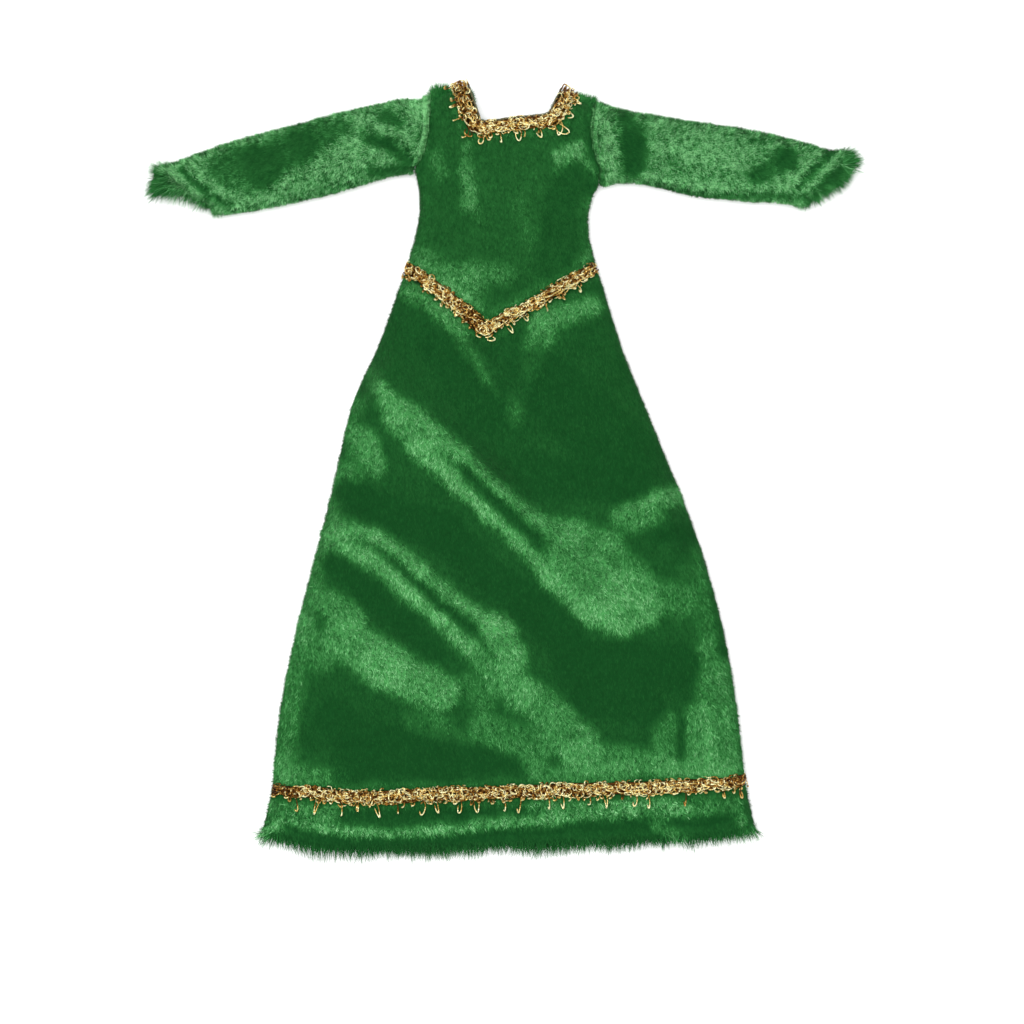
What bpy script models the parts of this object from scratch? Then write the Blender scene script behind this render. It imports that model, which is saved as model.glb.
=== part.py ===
"""A doll's princess gown in pile velvet with gold looped braid, lying flat with its front up.

The gown lies on the XY plane with its neck towards +Y and its front towards +Z. Sizes below are in
millimetres and are turned into Blender's metres where the points are made. Each piece that is cut and
sewn on is one closed solid: a wall of cloth between an upper and an under side. The back pieces lie
flat on the surface, the front pieces lie on them, and the sleeves are flattened tubes.
"""

import math
from typing import NamedTuple

import bmesh
import bpy

MM = 0.001

# Cloth and layers, from the surface up
WALL = 1.2  # the velvet with its pile
GAP = 0.3  # between pieces at a seam and between layers
FRONT_REST = WALL + GAP  # underside of the front pieces where they are sewn to the back
RIM_DROPS = (0.72, 0.34, 0.08)  # how far a cloth edge rounds off, at the edge and at the two rows inside it
RIM_INSETS = (0.0, 0.35, 1.05)  # where those rows lie, in from the edge

# Loft: how far the front stands off the back inside the gown
SKIRT_LOFT = 0.8
BODICE_LOFT = 0.6
LOFT_RUN = 4.0  # distance from a seam over which the loft builds up
LOW_LOFT = 0.4  # share of the skirt's loft that it has at its waist seam
ARMPIT_Y = 45.0  # above it the bodice is open to the sleeves, and stands off there too
ARMPIT_RUN = 2.5

# Hems: the turned edge is stitched down in a groove
HEM_ROWS = (0.0, 0.45, 1.2, 2.1, 3.0, 3.9)  # rows of points up from the skirt's edge
HEM_STITCH = 3.0  # the stitched groove, up from the edge
HEM_GROOVE = 0.45
HEM_RIDGE_AT = 4.9  # the turned cloth ends in a ridge
HEM_RIDGE = 0.35
CUFF_STITCH = 3.2
CUFF_GROOVE = 0.5
GROOVE_SPREAD = 0.75

# Grids
SKIRT_COLUMNS = 15  # on each side of the point of the waist
SKIRT_ROWS = 32
BACK_COLUMNS = 6
BACK_ROWS = 19
STRAP_COLUMNS = 4
NECK_COLUMNS = 7
CHEST_ROWS = 11
STRAP_ROWS = 6

# Sleeves
SLEEVE_EDGE = 3.3  # height of a flattened sleeve at its folded edges
SLEEVE_CROWN = 0.7  # how much higher the middle stands
SLEEVE_WALL = 1.1
SLEEVE_SPREAD = 0.7  # how much of each step along the sleeve it moves clear of the armhole
SLEEVE_RINGS = 19
SLEEVE_HEAD = (0.0, 0.5)  # rings in from the armhole, and up from the cuff
CUFF_ROWS = (0.0, 0.45, 1.3, 2.3, 3.2, 4.1)
SLEEVE_ARC = 4  # steps round each folded edge
SLEEVE_FLAT = 5  # steps across the top, and across the underside
END_ROUND = 0.3  # how far a sleeve's raw ends round off
END_RUN = 0.35

# Braid
BRAID_THICK = 0.8
BRAID_PROFILE = ((-1.0, 0.35), (-0.5, 0.9), (0.0, 1.0), (0.5, 0.9), (1.0, 0.35))  # across, share of thickness
PICOT_PITCH = 3.2  # one loop to the next along a braid's outer edge
PICOT_STEPS = 4
PICOT_REACH = 0.9  # how far a loop stands out of the braid's body

# The waist seam and the hem
WAIST_LEFT = (-15.4, 31.0)
WAIST_POINT = (-2.8, 21.9)
WAIST_RIGHT = (14.6, 31.2)
WAIST_SLOPE = math.atan2(WAIST_LEFT[1] - WAIST_POINT[1], WAIST_POINT[0] - WAIST_LEFT[0])
SEAM_HALF = GAP / 2 / math.cos(WAIST_SLOPE)  # from the waist seam to the edge of a piece, up or down
HEM_SIDE_Y = -57.0
BACK_OPENING = 0.6  # where the back pieces meet behind


class Outline(NamedTuple):
    """Where the left and the right edge of the gown lie at one height."""

    y: float
    left: float
    right: float


class EdgePoint(NamedTuple):
    """A point of a seam or an edge, seen from above."""

    x: float
    y: float


class Fold(NamedTuple):
    """A soft ridge of the cloth, or a trough where height is below zero, along a straight crest."""

    x0: float
    y0: float
    x1: float
    y1: float
    height: float
    half_width: float


class SleeveSection(NamedTuple):
    """Upper and lower folded edge of a sleeve, how far the cloth between them bows away from the body,
    and how much more of that bow lies near the upper edge."""

    top_x: float
    top_y: float
    low_x: float
    low_y: float
    bow: float
    lean: float


SKIRT_SIDES = (
    Outline(y=31.1, left=-15.4, right=14.6),
    Outline(y=25.0, left=-17.5, right=16.4),
    Outline(y=18.0, left=-20.1, right=18.6),
    Outline(y=11.0, left=-23.5, right=21.4),
    Outline(y=4.0, left=-25.1, right=24.2),
    Outline(y=-8.0, left=-27.9, right=29.0),
    Outline(y=-22.0, left=-31.6, right=33.3),
    Outline(y=-36.0, left=-34.6, right=36.0),
    Outline(y=-48.0, left=-36.0, right=37.4),
    Outline(y=-53.0, left=-36.5, right=38.1),
    Outline(y=-57.0, left=-38.2, right=39.5),
)

BODICE_SIDES = (
    Outline(y=31.1, left=-15.4, right=14.6),
    Outline(y=33.5, left=-14.4, right=13.6),
    Outline(y=38.0, left=-13.4, right=12.9),
    Outline(y=42.5, left=-12.9, right=13.6),
    Outline(y=46.2, left=-13.9, right=15.6),
    Outline(y=49.4, left=-12.8, right=14.2),
    Outline(y=53.0, left=-12.1, right=13.7),
    Outline(y=57.2, left=-11.7, right=14.1),
    Outline(y=59.0, left=-11.2, right=14.2),
)

# The neck opening: inner edges of the two straps, and the neckline between them
NECK_STRAPS = (
    Outline(y=31.1, left=-2.8, right=5.4),
    Outline(y=46.0, left=-3.4, right=6.2),
    Outline(y=53.6, left=-3.7, right=6.7),
    Outline(y=56.0, left=-4.2, right=7.6),
    Outline(y=60.0, left=-5.2, right=9.5),
)
NECKLINE = (
    EdgePoint(x=-14.0, y=53.9),
    EdgePoint(x=-3.7, y=54.0),
    EdgePoint(x=-0.9, y=54.0),
    EdgePoint(x=2.2, y=54.6),
    EdgePoint(x=6.5, y=55.1),
    EdgePoint(x=15.0, y=54.6),
)
SHOULDERS = (
    EdgePoint(x=-11.2, y=58.9),
    EdgePoint(x=-8.8, y=59.6),
    EdgePoint(x=-5.2, y=60.0),
    EdgePoint(x=9.5, y=59.4),
    EdgePoint(x=12.0, y=58.2),
    EdgePoint(x=14.2, y=57.0),
)
HEM = (
    EdgePoint(x=-38.2, y=-57.0),
    EdgePoint(x=-31.5, y=-59.2),
    EdgePoint(x=-25.0, y=-60.0),
    EdgePoint(x=-10.0, y=-59.8),
    EdgePoint(x=5.0, y=-59.4),
    EdgePoint(x=20.0, y=-58.8),
    EdgePoint(x=32.0, y=-58.0),
    EdgePoint(x=39.5, y=-56.3),
)

SKIRT_FOLDS = (
    Fold(x0=-20.5, y0=15.0, x1=-3.5, y1=-2.0, height=1.5, half_width=5.2),
    Fold(x0=-3.5, y0=-2.0, x1=14.5, y1=-20.5, height=1.6, half_width=5.6),
    Fold(x0=26.5, y0=-3.5, x1=15.5, y1=-21.5, height=1.3, half_width=7.5),
    Fold(x0=-26.0, y0=-8.5, x1=-1.0, y1=-28.5, height=1.5, half_width=5.0),
    Fold(x0=-30.0, y0=-21.0, x1=-9.5, y1=-37.0, height=1.1, half_width=5.6),
    Fold(x0=1.0, y0=-26.0, x1=13.0, y1=-44.0, height=1.3, half_width=6.5),
    Fold(x0=19.0, y0=-41.0, x1=32.0, y1=-35.0, height=0.9, half_width=6.0),
    Fold(x0=-4.0, y0=17.0, x1=3.0, y1=6.0, height=0.6, half_width=3.6),
    Fold(x0=9.5, y0=-9.0, x1=-8.0, y1=12.0, height=-0.5, half_width=4.5),
)
BODICE_FOLDS = (
    Fold(x0=-7.0, y0=50.0, x1=-6.0, y1=40.0, height=0.5, half_width=3.2),
    Fold(x0=8.5, y0=50.0, x1=12.5, y1=46.0, height=0.6, half_width=3.0),
    Fold(x0=-13.0, y0=34.0, x1=0.0, y1=29.0, height=0.4, half_width=3.4),
)
SLEEVE_LEFT = (
    SleeveSection(top_x=-11.4, top_y=58.3, low_x=-13.6, low_y=46.1, bow=0.0, lean=0.0),
    SleeveSection(top_x=-16.0, top_y=57.5, low_x=-18.6, low_y=45.0, bow=0.0, lean=0.0),
    SleeveSection(top_x=-25.1, top_y=55.4, low_x=-27.3, low_y=42.4, bow=0.1, lean=0.0),
    SleeveSection(top_x=-33.8, top_y=53.1, low_x=-34.6, low_y=40.8, bow=0.3, lean=0.2),
    SleeveSection(top_x=-42.5, top_y=50.8, low_x=-39.8, low_y=39.8, bow=0.6, lean=0.4),
    SleeveSection(top_x=-48.8, top_y=48.6, low_x=-42.4, low_y=39.5, bow=0.8, lean=0.8),
    SleeveSection(top_x=-51.6, top_y=47.6, low_x=-43.7, low_y=39.2, bow=1.1, lean=1.4),
    SleeveSection(top_x=-54.7, top_y=47.2, low_x=-45.2, low_y=38.6, bow=1.5, lean=2.4),
)
SLEEVE_RIGHT = (
    SleeveSection(top_x=13.9, top_y=56.9, low_x=15.3, low_y=44.1, bow=0.0, lean=0.0),
    SleeveSection(top_x=20.5, top_y=55.5, low_x=20.5, low_y=44.3, bow=0.0, lean=0.0),
    SleeveSection(top_x=29.1, top_y=54.0, low_x=28.5, low_y=42.4, bow=0.1, lean=0.0),
    SleeveSection(top_x=37.8, top_y=52.8, low_x=36.5, low_y=41.5, bow=0.3, lean=0.2),
    SleeveSection(top_x=46.0, top_y=50.9, low_x=42.0, low_y=41.4, bow=0.6, lean=0.4),
    SleeveSection(top_x=50.0, top_y=49.7, low_x=44.4, low_y=41.0, bow=0.8, lean=0.5),
    SleeveSection(top_x=52.3, top_y=49.6, low_x=45.7, low_y=40.5, bow=1.1, lean=0.7),
    SleeveSection(top_x=54.5, top_y=49.9, low_x=47.3, low_y=39.8, bow=1.8, lean=1.0),
)
SLEEVE_LEFT_FOLDS = (
    Fold(x0=-14.0, y0=55.5, x1=-19.5, y1=49.5, height=0.5, half_width=2.4),
    Fold(x0=-15.5, y0=47.5, x1=-22.0, y1=51.0, height=0.5, half_width=2.2),
    Fold(x0=-24.0, y0=47.0, x1=-40.0, y1=42.5, height=0.4, half_width=2.8),
    Fold(x0=-26.0, y0=52.0, x1=-44.0, y1=48.0, height=-0.3, half_width=3.4),
)
SLEEVE_RIGHT_FOLDS = (
    Fold(x0=17.0, y0=55.0, x1=18.0, y1=47.0, height=0.5, half_width=2.2),
    Fold(x0=22.0, y0=54.0, x1=21.0, y1=46.0, height=-0.4, half_width=2.2),
    Fold(x0=24.0, y0=45.5, x1=42.0, y1=43.5, height=0.4, half_width=1.8),
    Fold(x0=40.0, y0=49.0, x1=46.0, y1=44.5, height=-0.3, half_width=2.4),
)


class BraidPoint(NamedTuple):
    """A point of a braid's middle line, seen from above, with the braid's width there."""

    x: float
    y: float
    width: float


NECK_BRAID = (
    BraidPoint(x=-6.95, y=59.5, width=3.1),
    BraidPoint(x=-6.05, y=57.0, width=3.0),
    BraidPoint(x=-5.15, y=54.3, width=2.7),
    BraidPoint(x=-4.1, y=53.0, width=2.4),
    BraidPoint(x=-2.0, y=52.85, width=2.2),
    BraidPoint(x=2.0, y=53.4, width=2.2),
    BraidPoint(x=6.6, y=53.9, width=2.2),
    BraidPoint(x=7.95, y=54.55, width=2.4),
    BraidPoint(x=9.1, y=56.15, width=2.6),
    BraidPoint(x=10.7, y=58.6, width=2.6),
)
WAIST_BRAID = (
    BraidPoint(x=-15.3, y=30.9, width=2.1),
    BraidPoint(x=-12.5, y=29.3, width=2.0),
    BraidPoint(x=-6.4, y=25.1, width=1.9),
    BraidPoint(x=-2.7, y=22.5, width=2.0),
    BraidPoint(x=3.9, y=25.7, width=1.9),
    BraidPoint(x=9.1, y=28.5, width=1.9),
    BraidPoint(x=14.5, y=31.3, width=2.0),
)
HEM_BRAID = (
    BraidPoint(x=-36.3, y=-49.4, width=1.9),
    BraidPoint(x=-30.0, y=-49.8, width=1.9),
    BraidPoint(x=-24.0, y=-50.5, width=2.0),
    BraidPoint(x=-12.0, y=-50.2, width=2.0),
    BraidPoint(x=2.0, y=-49.9, width=2.0),
    BraidPoint(x=14.0, y=-49.6, width=2.0),
    BraidPoint(x=26.0, y=-49.1, width=1.9),
    BraidPoint(x=37.6, y=-48.2, width=1.9),
)


def ease(share):
    """A smooth step from 0 to 1."""
    share = max(0.0, min(1.0, share))
    return share * share * (3 - 2 * share)


def smooth(knots, at):
    """A smooth curve through (position, value) knots, whose positions rise, read at one position."""
    if at <= knots[0][0]:
        return knots[0][1]
    if at >= knots[-1][0]:
        return knots[-1][1]
    step = next(k for k in range(len(knots) - 1) if at <= knots[k + 1][0])
    (a, low), (b, high) = knots[step], knots[step + 1]

    def slope(k):
        before, after = knots[max(k - 1, 0)], knots[min(k + 1, len(knots) - 1)]
        return (after[1] - before[1]) / (after[0] - before[0])

    run = b - a
    t = (at - a) / run
    bend = (t**3 - 2 * t**2 + t) * slope(step) + (t**3 - t**2) * slope(step + 1)
    return (2 * t**3 - 3 * t**2 + 1) * low + (3 * t**2 - 2 * t**3) * high + run * bend


def outline_at(table, y):
    """Left and right edge of an outline table at a height."""
    rows = sorted(table)
    left = smooth([(row.y, row.left) for row in rows], y)
    right = smooth([(row.y, row.right) for row in rows], y)
    return left, right


def edge_at(table, x):
    """Height of a seam or an edge at a place across."""
    return smooth([(point.x, point.y) for point in table], x)


def waist_at(x):
    """Height of the V-shaped waist seam at a place across."""
    near, far = (WAIST_LEFT, WAIST_POINT) if x < WAIST_POINT[0] else (WAIST_POINT, WAIST_RIGHT)
    return near[1] + (x - near[0]) / (far[0] - near[0]) * (far[1] - near[1])


def back_waist_at(x):
    """Height of the straight waist seam of the back at a place across."""
    share = (x - WAIST_LEFT[0]) / (WAIST_RIGHT[0] - WAIST_LEFT[0])
    return WAIST_LEFT[1] + share * (WAIST_RIGHT[1] - WAIST_LEFT[1])


def stops(start, end, count, head=RIM_INSETS, tail=RIM_INSETS):
    """Places from start to end: fixed insets near both ends, and even steps between them."""
    way = 1 if end > start else -1
    first = [start + way * inset for inset in head]
    last = [end - way * inset for inset in reversed(tail)]
    between = count - len(head) - len(tail) + 1
    step = (last[0] - first[-1]) / (between + 1)
    middle = [first[-1] + step * (k + 1) for k in range(between)]
    return first + middle + last


def fold_height(folds, x, y):
    """How far the folds lift the cloth at a point."""
    total = 0.0
    for fold in folds:
        run_x, run_y = fold.x1 - fold.x0, fold.y1 - fold.y0
        long = math.hypot(run_x, run_y)
        along = ((x - fold.x0) * run_x + (y - fold.y0) * run_y) / long
        beyond = max(-along, along - long, 0.0)
        off = abs((x - fold.x0) * run_y - (y - fold.y0) * run_x) / long
        distance = math.hypot(off, beyond) / fold.half_width
        if distance < 1:
            total += fold.height * (1 - distance**2) ** 2
    return total


def stitched(distance, groove_at, depth):
    """The groove that a row of stitches presses into the cloth, by distance from the edge."""
    return -depth * math.exp(-(((distance - groove_at) / GROOVE_SPREAD) ** 2))


def skirt_hollow(x, y):
    """Height of the front skirt's underside over the back skirt."""
    left, right = outline_at(SKIRT_SIDES, y)
    from_side = min(x - left, right - x)
    side = ease(from_side / LOFT_RUN)
    top = ease((waist_at(x) - y) / LOFT_RUN)
    loft = SKIRT_LOFT * (LOW_LOFT + (1 - LOW_LOFT) * top)
    return side * max(loft + top * fold_height(SKIRT_FOLDS, x, y), 0.0)


def skirt_over(x, y):
    """Height of the front skirt's outer face over the surface."""
    from_hem = y - edge_at(HEM, x)
    ridge = stitched(from_hem, HEM_STITCH, HEM_GROOVE) - stitched(from_hem, HEM_RIDGE_AT, HEM_RIDGE)
    return FRONT_REST + WALL + skirt_hollow(x, y) + ridge


def bodice_hollow(x, y):
    """Height of the front bodice's underside over the back bodice."""
    left, right = outline_at(BODICE_SIDES, y)
    armhole = ease((y - ARMPIT_Y) / ARMPIT_RUN)
    from_side = min(x - left, right - x) + LOFT_RUN * armhole
    from_shoulder = edge_at(SHOULDERS, x) - y
    closed = ease(from_side / LOFT_RUN) * ease(from_shoulder / LOFT_RUN)
    return closed * max(BODICE_LOFT + fold_height(BODICE_FOLDS, x, y), 0.0)


def bodice_over(x, y):
    """Height of the front bodice's outer face over the surface."""
    return FRONT_REST + WALL + bodice_hollow(x, y)


def cloth(name, colour, roughness):
    """A material for a piece: its colour, its roughness, and metal where it is braid."""
    material = bpy.data.materials.get(name) or bpy.data.materials.new(name)
    material.use_nodes = True
    shader = material.node_tree.nodes["Principled BSDF"]
    shader.inputs["Base Color"].default_value = (*colour, 1.0)
    shader.inputs["Roughness"].default_value = roughness
    shader.inputs["Metallic"].default_value = 0.9 if name == "gold_braid" else 0.0
    return material


def velvet():
    return cloth("green_velvet", (0.035, 0.22, 0.06), 0.85)


def gold():
    return cloth("gold_braid", (0.72, 0.47, 0.14), 0.35)


def add_object(name, bm, material):
    """Closes a bmesh into a named object whose faces are smooth except at sharp edges."""
    bmesh.ops.recalc_face_normals(bm, faces=bm.faces[:])
    mesh = bpy.data.meshes.new(name)
    bm.to_mesh(mesh)
    bm.free()
    mesh.shade_smooth()
    mesh.set_sharp_from_angle(angle=math.radians(50))
    mesh.materials.append(material)
    made = bpy.data.objects.new(name, mesh)
    bpy.context.scene.collection.objects.link(made)
    return made


def plan_sheet(rows, is_open=None):
    """A flat sheet through rows of plan points, without the cells that is_open(row, column) leaves out."""
    bm = bmesh.new()
    grid = [[bm.verts.new((x * MM, y * MM, 0.0)) for x, y in row] for row in rows]
    for r in range(len(grid) - 1):
        for c in range(len(grid[0]) - 1):
            if is_open is None or not is_open(r, c):
                bm.faces.new((grid[r][c], grid[r][c + 1], grid[r + 1][c + 1], grid[r + 1][c]))
    bmesh.ops.delete(bm, geom=[v for v in bm.verts if not v.link_faces], context="VERTS")
    return bm


def rim_rings(bm):
    """Which ring from the sheet's edge each vertex is in: 0 on the edge, then 1 and 2, and none inside."""
    ring = {v: 0 for v in bm.verts if v.is_boundary}
    for level in range(1, len(RIM_DROPS)):
        outer = [v for v, found in ring.items() if found == level - 1]
        for v in outer:
            for edge in v.link_edges:
                ring.setdefault(edge.other_vert(v), level)
    return ring


def make_wall(bm, over, under, round_under=False):
    """Turns a flat sheet into a wall of cloth between the heights over(x, y) and under(x, y), in millimetres.

    Its outer edge is rounded off, and with round_under its lower edge is too."""
    drop = bm.verts.layers.float.new("drop")
    ring = rim_rings(bm)
    for v in bm.verts:
        v[drop] = RIM_DROPS[ring[v]] if v in ring else 0.0
    top = list(bm.verts)
    made = bmesh.ops.extrude_face_region(bm, geom=bm.faces[:])
    lower = [v for v in made["geom"] if isinstance(v, bmesh.types.BMVert)]
    for v in top:
        fallen = 0.0 if round_under else v[drop]
        v.co.z = (over(v.co.x / MM, v.co.y / MM) - fallen) * MM
    for v in lower:
        lifted = v[drop] if round_under else 0.0
        v.co.z = (under(v.co.x / MM, v.co.y / MM) + lifted) * MM
    return bm


def skirt_rows(columns_at, waist, rows, head, tail):
    """Plan points of a skirt piece: columns_at(y) gives the places across, one row after another."""
    side_y = stops(WAIST_LEFT[1], HEM_SIDE_Y, rows, head, tail)
    across = [columns_at(y) for y in side_y]
    down = []
    for waist_x, hem_x in zip(across[0], across[-1]):
        down.append(stops(waist(waist_x) - SEAM_HALF, edge_at(HEM, hem_x), rows, head, tail))
    return [[(row[c], down[c][r]) for c in range(len(row))] for r, row in enumerate(across)]


def make_skirt_front():
    def columns_at(y):
        left, right = outline_at(SKIRT_SIDES, y)
        middle = WAIST_POINT[0] * (y - HEM_SIDE_Y) / (WAIST_LEFT[1] - HEM_SIDE_Y)
        first = stops(left, middle, SKIRT_COLUMNS, tail=(0.0,))
        return first + stops(middle, right, SKIRT_COLUMNS, head=(0.0,))[1:]

    sheet = plan_sheet(skirt_rows(columns_at, waist_at, SKIRT_ROWS, RIM_INSETS, HEM_ROWS))
    wall = make_wall(sheet, skirt_over, lambda x, y: FRONT_REST + skirt_hollow(x, y))
    return add_object("skirt_front", wall, velvet())


def make_skirt_back(name, side):
    def columns_at(y):
        left, right = outline_at(SKIRT_SIDES, y)
        if side < 0:
            return stops(left, BACK_OPENING - GAP / 2, BACK_COLUMNS)
        return stops(BACK_OPENING + GAP / 2, right, BACK_COLUMNS)

    sheet = plan_sheet(skirt_rows(columns_at, back_waist_at, BACK_ROWS, RIM_INSETS, RIM_INSETS))
    wall = make_wall(sheet, lambda x, y: WALL, lambda x, y: 0.0, round_under=True)
    return add_object(name, wall, velvet())


def bodice_heights(waist, x_waist, x_neck, x_top):
    """Places up one column of the bodice: from the waist to the neckline, and on up to the shoulder."""
    low = waist(x_waist) + SEAM_HALF
    neck = edge_at(NECKLINE, x_neck)
    chest = stops(low, neck, CHEST_ROWS)
    strap = stops(neck, edge_at(SHOULDERS, x_top), STRAP_ROWS, head=(0.0,))
    return chest + strap[1:]


def bodice_rows(columns_at, waist):
    """Plan points of a bodice piece, from the waist row to the shoulder row."""
    side_y = bodice_heights(waist, WAIST_LEFT[0], BODICE_SIDES[-2].left, BODICE_SIDES[-1].left)
    across = [columns_at(y) for y in side_y]
    down = []
    for waist_x, neck_x, top_x in zip(across[0], across[CHEST_ROWS], across[-1]):
        down.append(bodice_heights(waist, waist_x, neck_x, top_x))
    return [[(row[c], down[c][r]) for c in range(len(row))] for r, row in enumerate(across)]


def make_bodice_front():
    def columns_at(y):
        left, right = outline_at(BODICE_SIDES, y)
        strap_left, strap_right = outline_at(NECK_STRAPS, y)
        first = stops(left, strap_left, STRAP_COLUMNS + 2, tail=(0.0, 0.35))
        middle = stops(strap_left, strap_right, NECK_COLUMNS, head=(0.0,), tail=(0.0,))
        last = stops(strap_right, right, STRAP_COLUMNS + 2, head=(0.0, 0.35))
        return first + middle[1:-1] + last

    rows = bodice_rows(columns_at, waist_at)
    neck_from = STRAP_COLUMNS + 2
    neck_to = neck_from + NECK_COLUMNS

    def is_neck(row, column):
        return row >= CHEST_ROWS and neck_from <= column < neck_to

    wall = make_wall(plan_sheet(rows, is_neck), bodice_over, lambda x, y: FRONT_REST + bodice_hollow(x, y))
    return add_object("bodice_front", wall, velvet())


def make_bodice_back(name, side):
    def columns_at(y):
        left, right = outline_at(BODICE_SIDES, y)
        strap_left, strap_right = outline_at(NECK_STRAPS, y)
        if side < 0:
            strap = stops(left, strap_left, STRAP_COLUMNS + 1, tail=(0.0,))
            return strap + stops(strap_left, BACK_OPENING - GAP / 2, 3, head=(0.0,), tail=(0.0, 0.35))[1:]
        strap = stops(strap_right, right, STRAP_COLUMNS + 1, head=(0.0,))
        return stops(BACK_OPENING + GAP / 2, strap_right, 3, head=(0.0, 0.35), tail=(0.0,))[:-1] + strap

    rows = bodice_rows(columns_at, back_waist_at)
    neck_from = STRAP_COLUMNS + 1 if side < 0 else 0
    neck_to = len(rows[0]) - 1 if side < 0 else 3

    def is_neck(row, column):
        return row >= CHEST_ROWS and neck_from <= column < neck_to

    sheet = plan_sheet(rows, is_neck)
    wall = make_wall(sheet, lambda x, y: WALL, lambda x, y: 0.0, round_under=True)
    return add_object(name, wall, velvet())


def sleeve_at(table, share):
    """The sleeve's section at a share of its length, from the armhole to the cuff."""
    long = [0.0]
    for before, after in zip(table, table[1:]):
        long.append(long[-1] + math.hypot(after.top_x - before.top_x, after.top_y - before.top_y))
    columns = range(len(SleeveSection._fields))
    values = [smooth([(d / long[-1], row[k]) for d, row in zip(long, table)], share) for k in columns]
    return SleeveSection(*values)


def flat_ring(half, height, crown, wall):
    """One cross-section of a flattened tube as (across, height) pairs, taken in by wall on all sides.

    Its two ends are half circles, its underside is flat and its top rises by crown in the middle."""
    radius = height / 2
    reach = half - radius
    inner = radius - wall
    pairs = []
    for k in range(SLEEVE_ARC + 1):
        turn = -math.pi / 2 + math.pi * k / SLEEVE_ARC
        pairs.append((reach + inner * math.cos(turn), radius + inner * math.sin(turn)))
    for k in range(1, SLEEVE_FLAT):
        across = reach * (1 - 2 * k / SLEEVE_FLAT)
        rise = crown * (1 - (across / reach) ** 2)
        pairs.append((across, radius + inner + rise))
    for k in range(SLEEVE_ARC + 1):
        turn = math.pi / 2 + math.pi * k / SLEEVE_ARC
        pairs.append((-reach + inner * math.cos(turn), radius + inner * math.sin(turn)))
    for k in range(1, SLEEVE_FLAT):
        pairs.append((-reach * (1 - 2 * k / SLEEVE_FLAT), radius - inner))
    return pairs


def sleeve_points(table, folds, place, length, wall):
    """Points round a sleeve at a place along it, on its outer face or, with a wall, on its inner face."""
    section = sleeve_at(table, place / length)
    side_x, side_y = section.top_x - section.low_x, section.top_y - section.low_y
    width = math.hypot(side_x, side_y)
    side_x, side_y = side_x / width, side_y / width
    middle_x = (section.top_x + section.low_x) / 2
    middle_y = (section.top_y + section.low_y) / 2
    outward = -1 if middle_x < 0 else 1
    groove = stitched(length - place, CUFF_STITCH, CUFF_GROOVE)
    points = []
    for across, height in flat_ring(width / 2, SLEEVE_EDGE, SLEEVE_CROWN, wall):
        share = 2 * across / width
        inside = 1 - share**2
        bow = outward * section.bow * inside * (1 + section.lean * share)
        x = middle_x + side_x * across + bow * side_y
        y = middle_y + side_y * across - bow * side_x
        left, right = outline_at(BODICE_SIDES, y)
        clear = GAP + SLEEVE_SPREAD * place
        x = min(x, left - clear) if outward < 0 else max(x, right + clear)
        if height > SLEEVE_EDGE / 2:
            height += ease(2.2 * inside) * (fold_height(folds, x, y) + groove)
        points.append((x, y, height))
    return points


def make_sleeve(name, table, folds):
    """A flattened tube of cloth, open at the armhole and at the cuff."""
    first, last = table[0], table[-1]
    length = math.hypot(last.top_x - first.top_x, last.top_y - first.top_y)
    bm = bmesh.new()
    outer, inner = [], []
    for place in stops(0.0, length, SLEEVE_RINGS, head=SLEEVE_HEAD, tail=CUFF_ROWS):
        rounded = END_ROUND * math.exp(-min(place, length - place) / END_RUN)
        for x, y, z in sleeve_points(table, folds, place, length, 0.0):
            towards = 1 if z > SLEEVE_EDGE / 2 else -1
            outer.append(bm.verts.new((x * MM, y * MM, (z - towards * rounded) * MM)))
        for x, y, z in sleeve_points(table, folds, place, length, SLEEVE_WALL):
            inner.append(bm.verts.new((x * MM, y * MM, z * MM)))
    round_count = 2 * (SLEEVE_ARC + SLEEVE_FLAT)
    last_ring = len(outer) - round_count
    for k in range(round_count):
        after = (k + 1) % round_count
        for face in (outer, inner):
            for ring in range(0, last_ring, round_count):
                near, far = ring, ring + round_count
                bm.faces.new((face[near + k], face[near + after], face[far + after], face[far + k]))
        for end in (0, last_ring):
            bm.faces.new((outer[end + k], outer[end + after], inner[end + after], inner[end + k]))
    return add_object(name, bm, velvet())


def braid_line(table):
    """Points along a braid's middle line, each with its sideways direction, its width and how far the
    picot loops of its outer edge stand out there."""
    long = [0.0]
    for before, after in zip(table, table[1:]):
        long.append(long[-1] + math.hypot(after.x - before.x, after.y - before.y))
    loops = round(long[-1] / PICOT_PITCH)
    count = loops * PICOT_STEPS
    line = []
    for k in range(count + 1):
        at = long[-1] * k / count
        line.append([smooth([(d, row[i]) for d, row in zip(long, table)], at) for i in range(3)])
    placed = []
    for k, (x, y, width) in enumerate(line):
        before, after = line[max(k - 1, 0)], line[min(k + 1, count)]
        run_x, run_y = after[0] - before[0], after[1] - before[1]
        run = math.hypot(run_x, run_y)
        reach = PICOT_REACH * abs(math.sin(math.pi * k / PICOT_STEPS)) ** 0.6
        placed.append((x, y, -run_y / run, run_x / run, width, reach))
    return placed


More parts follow.
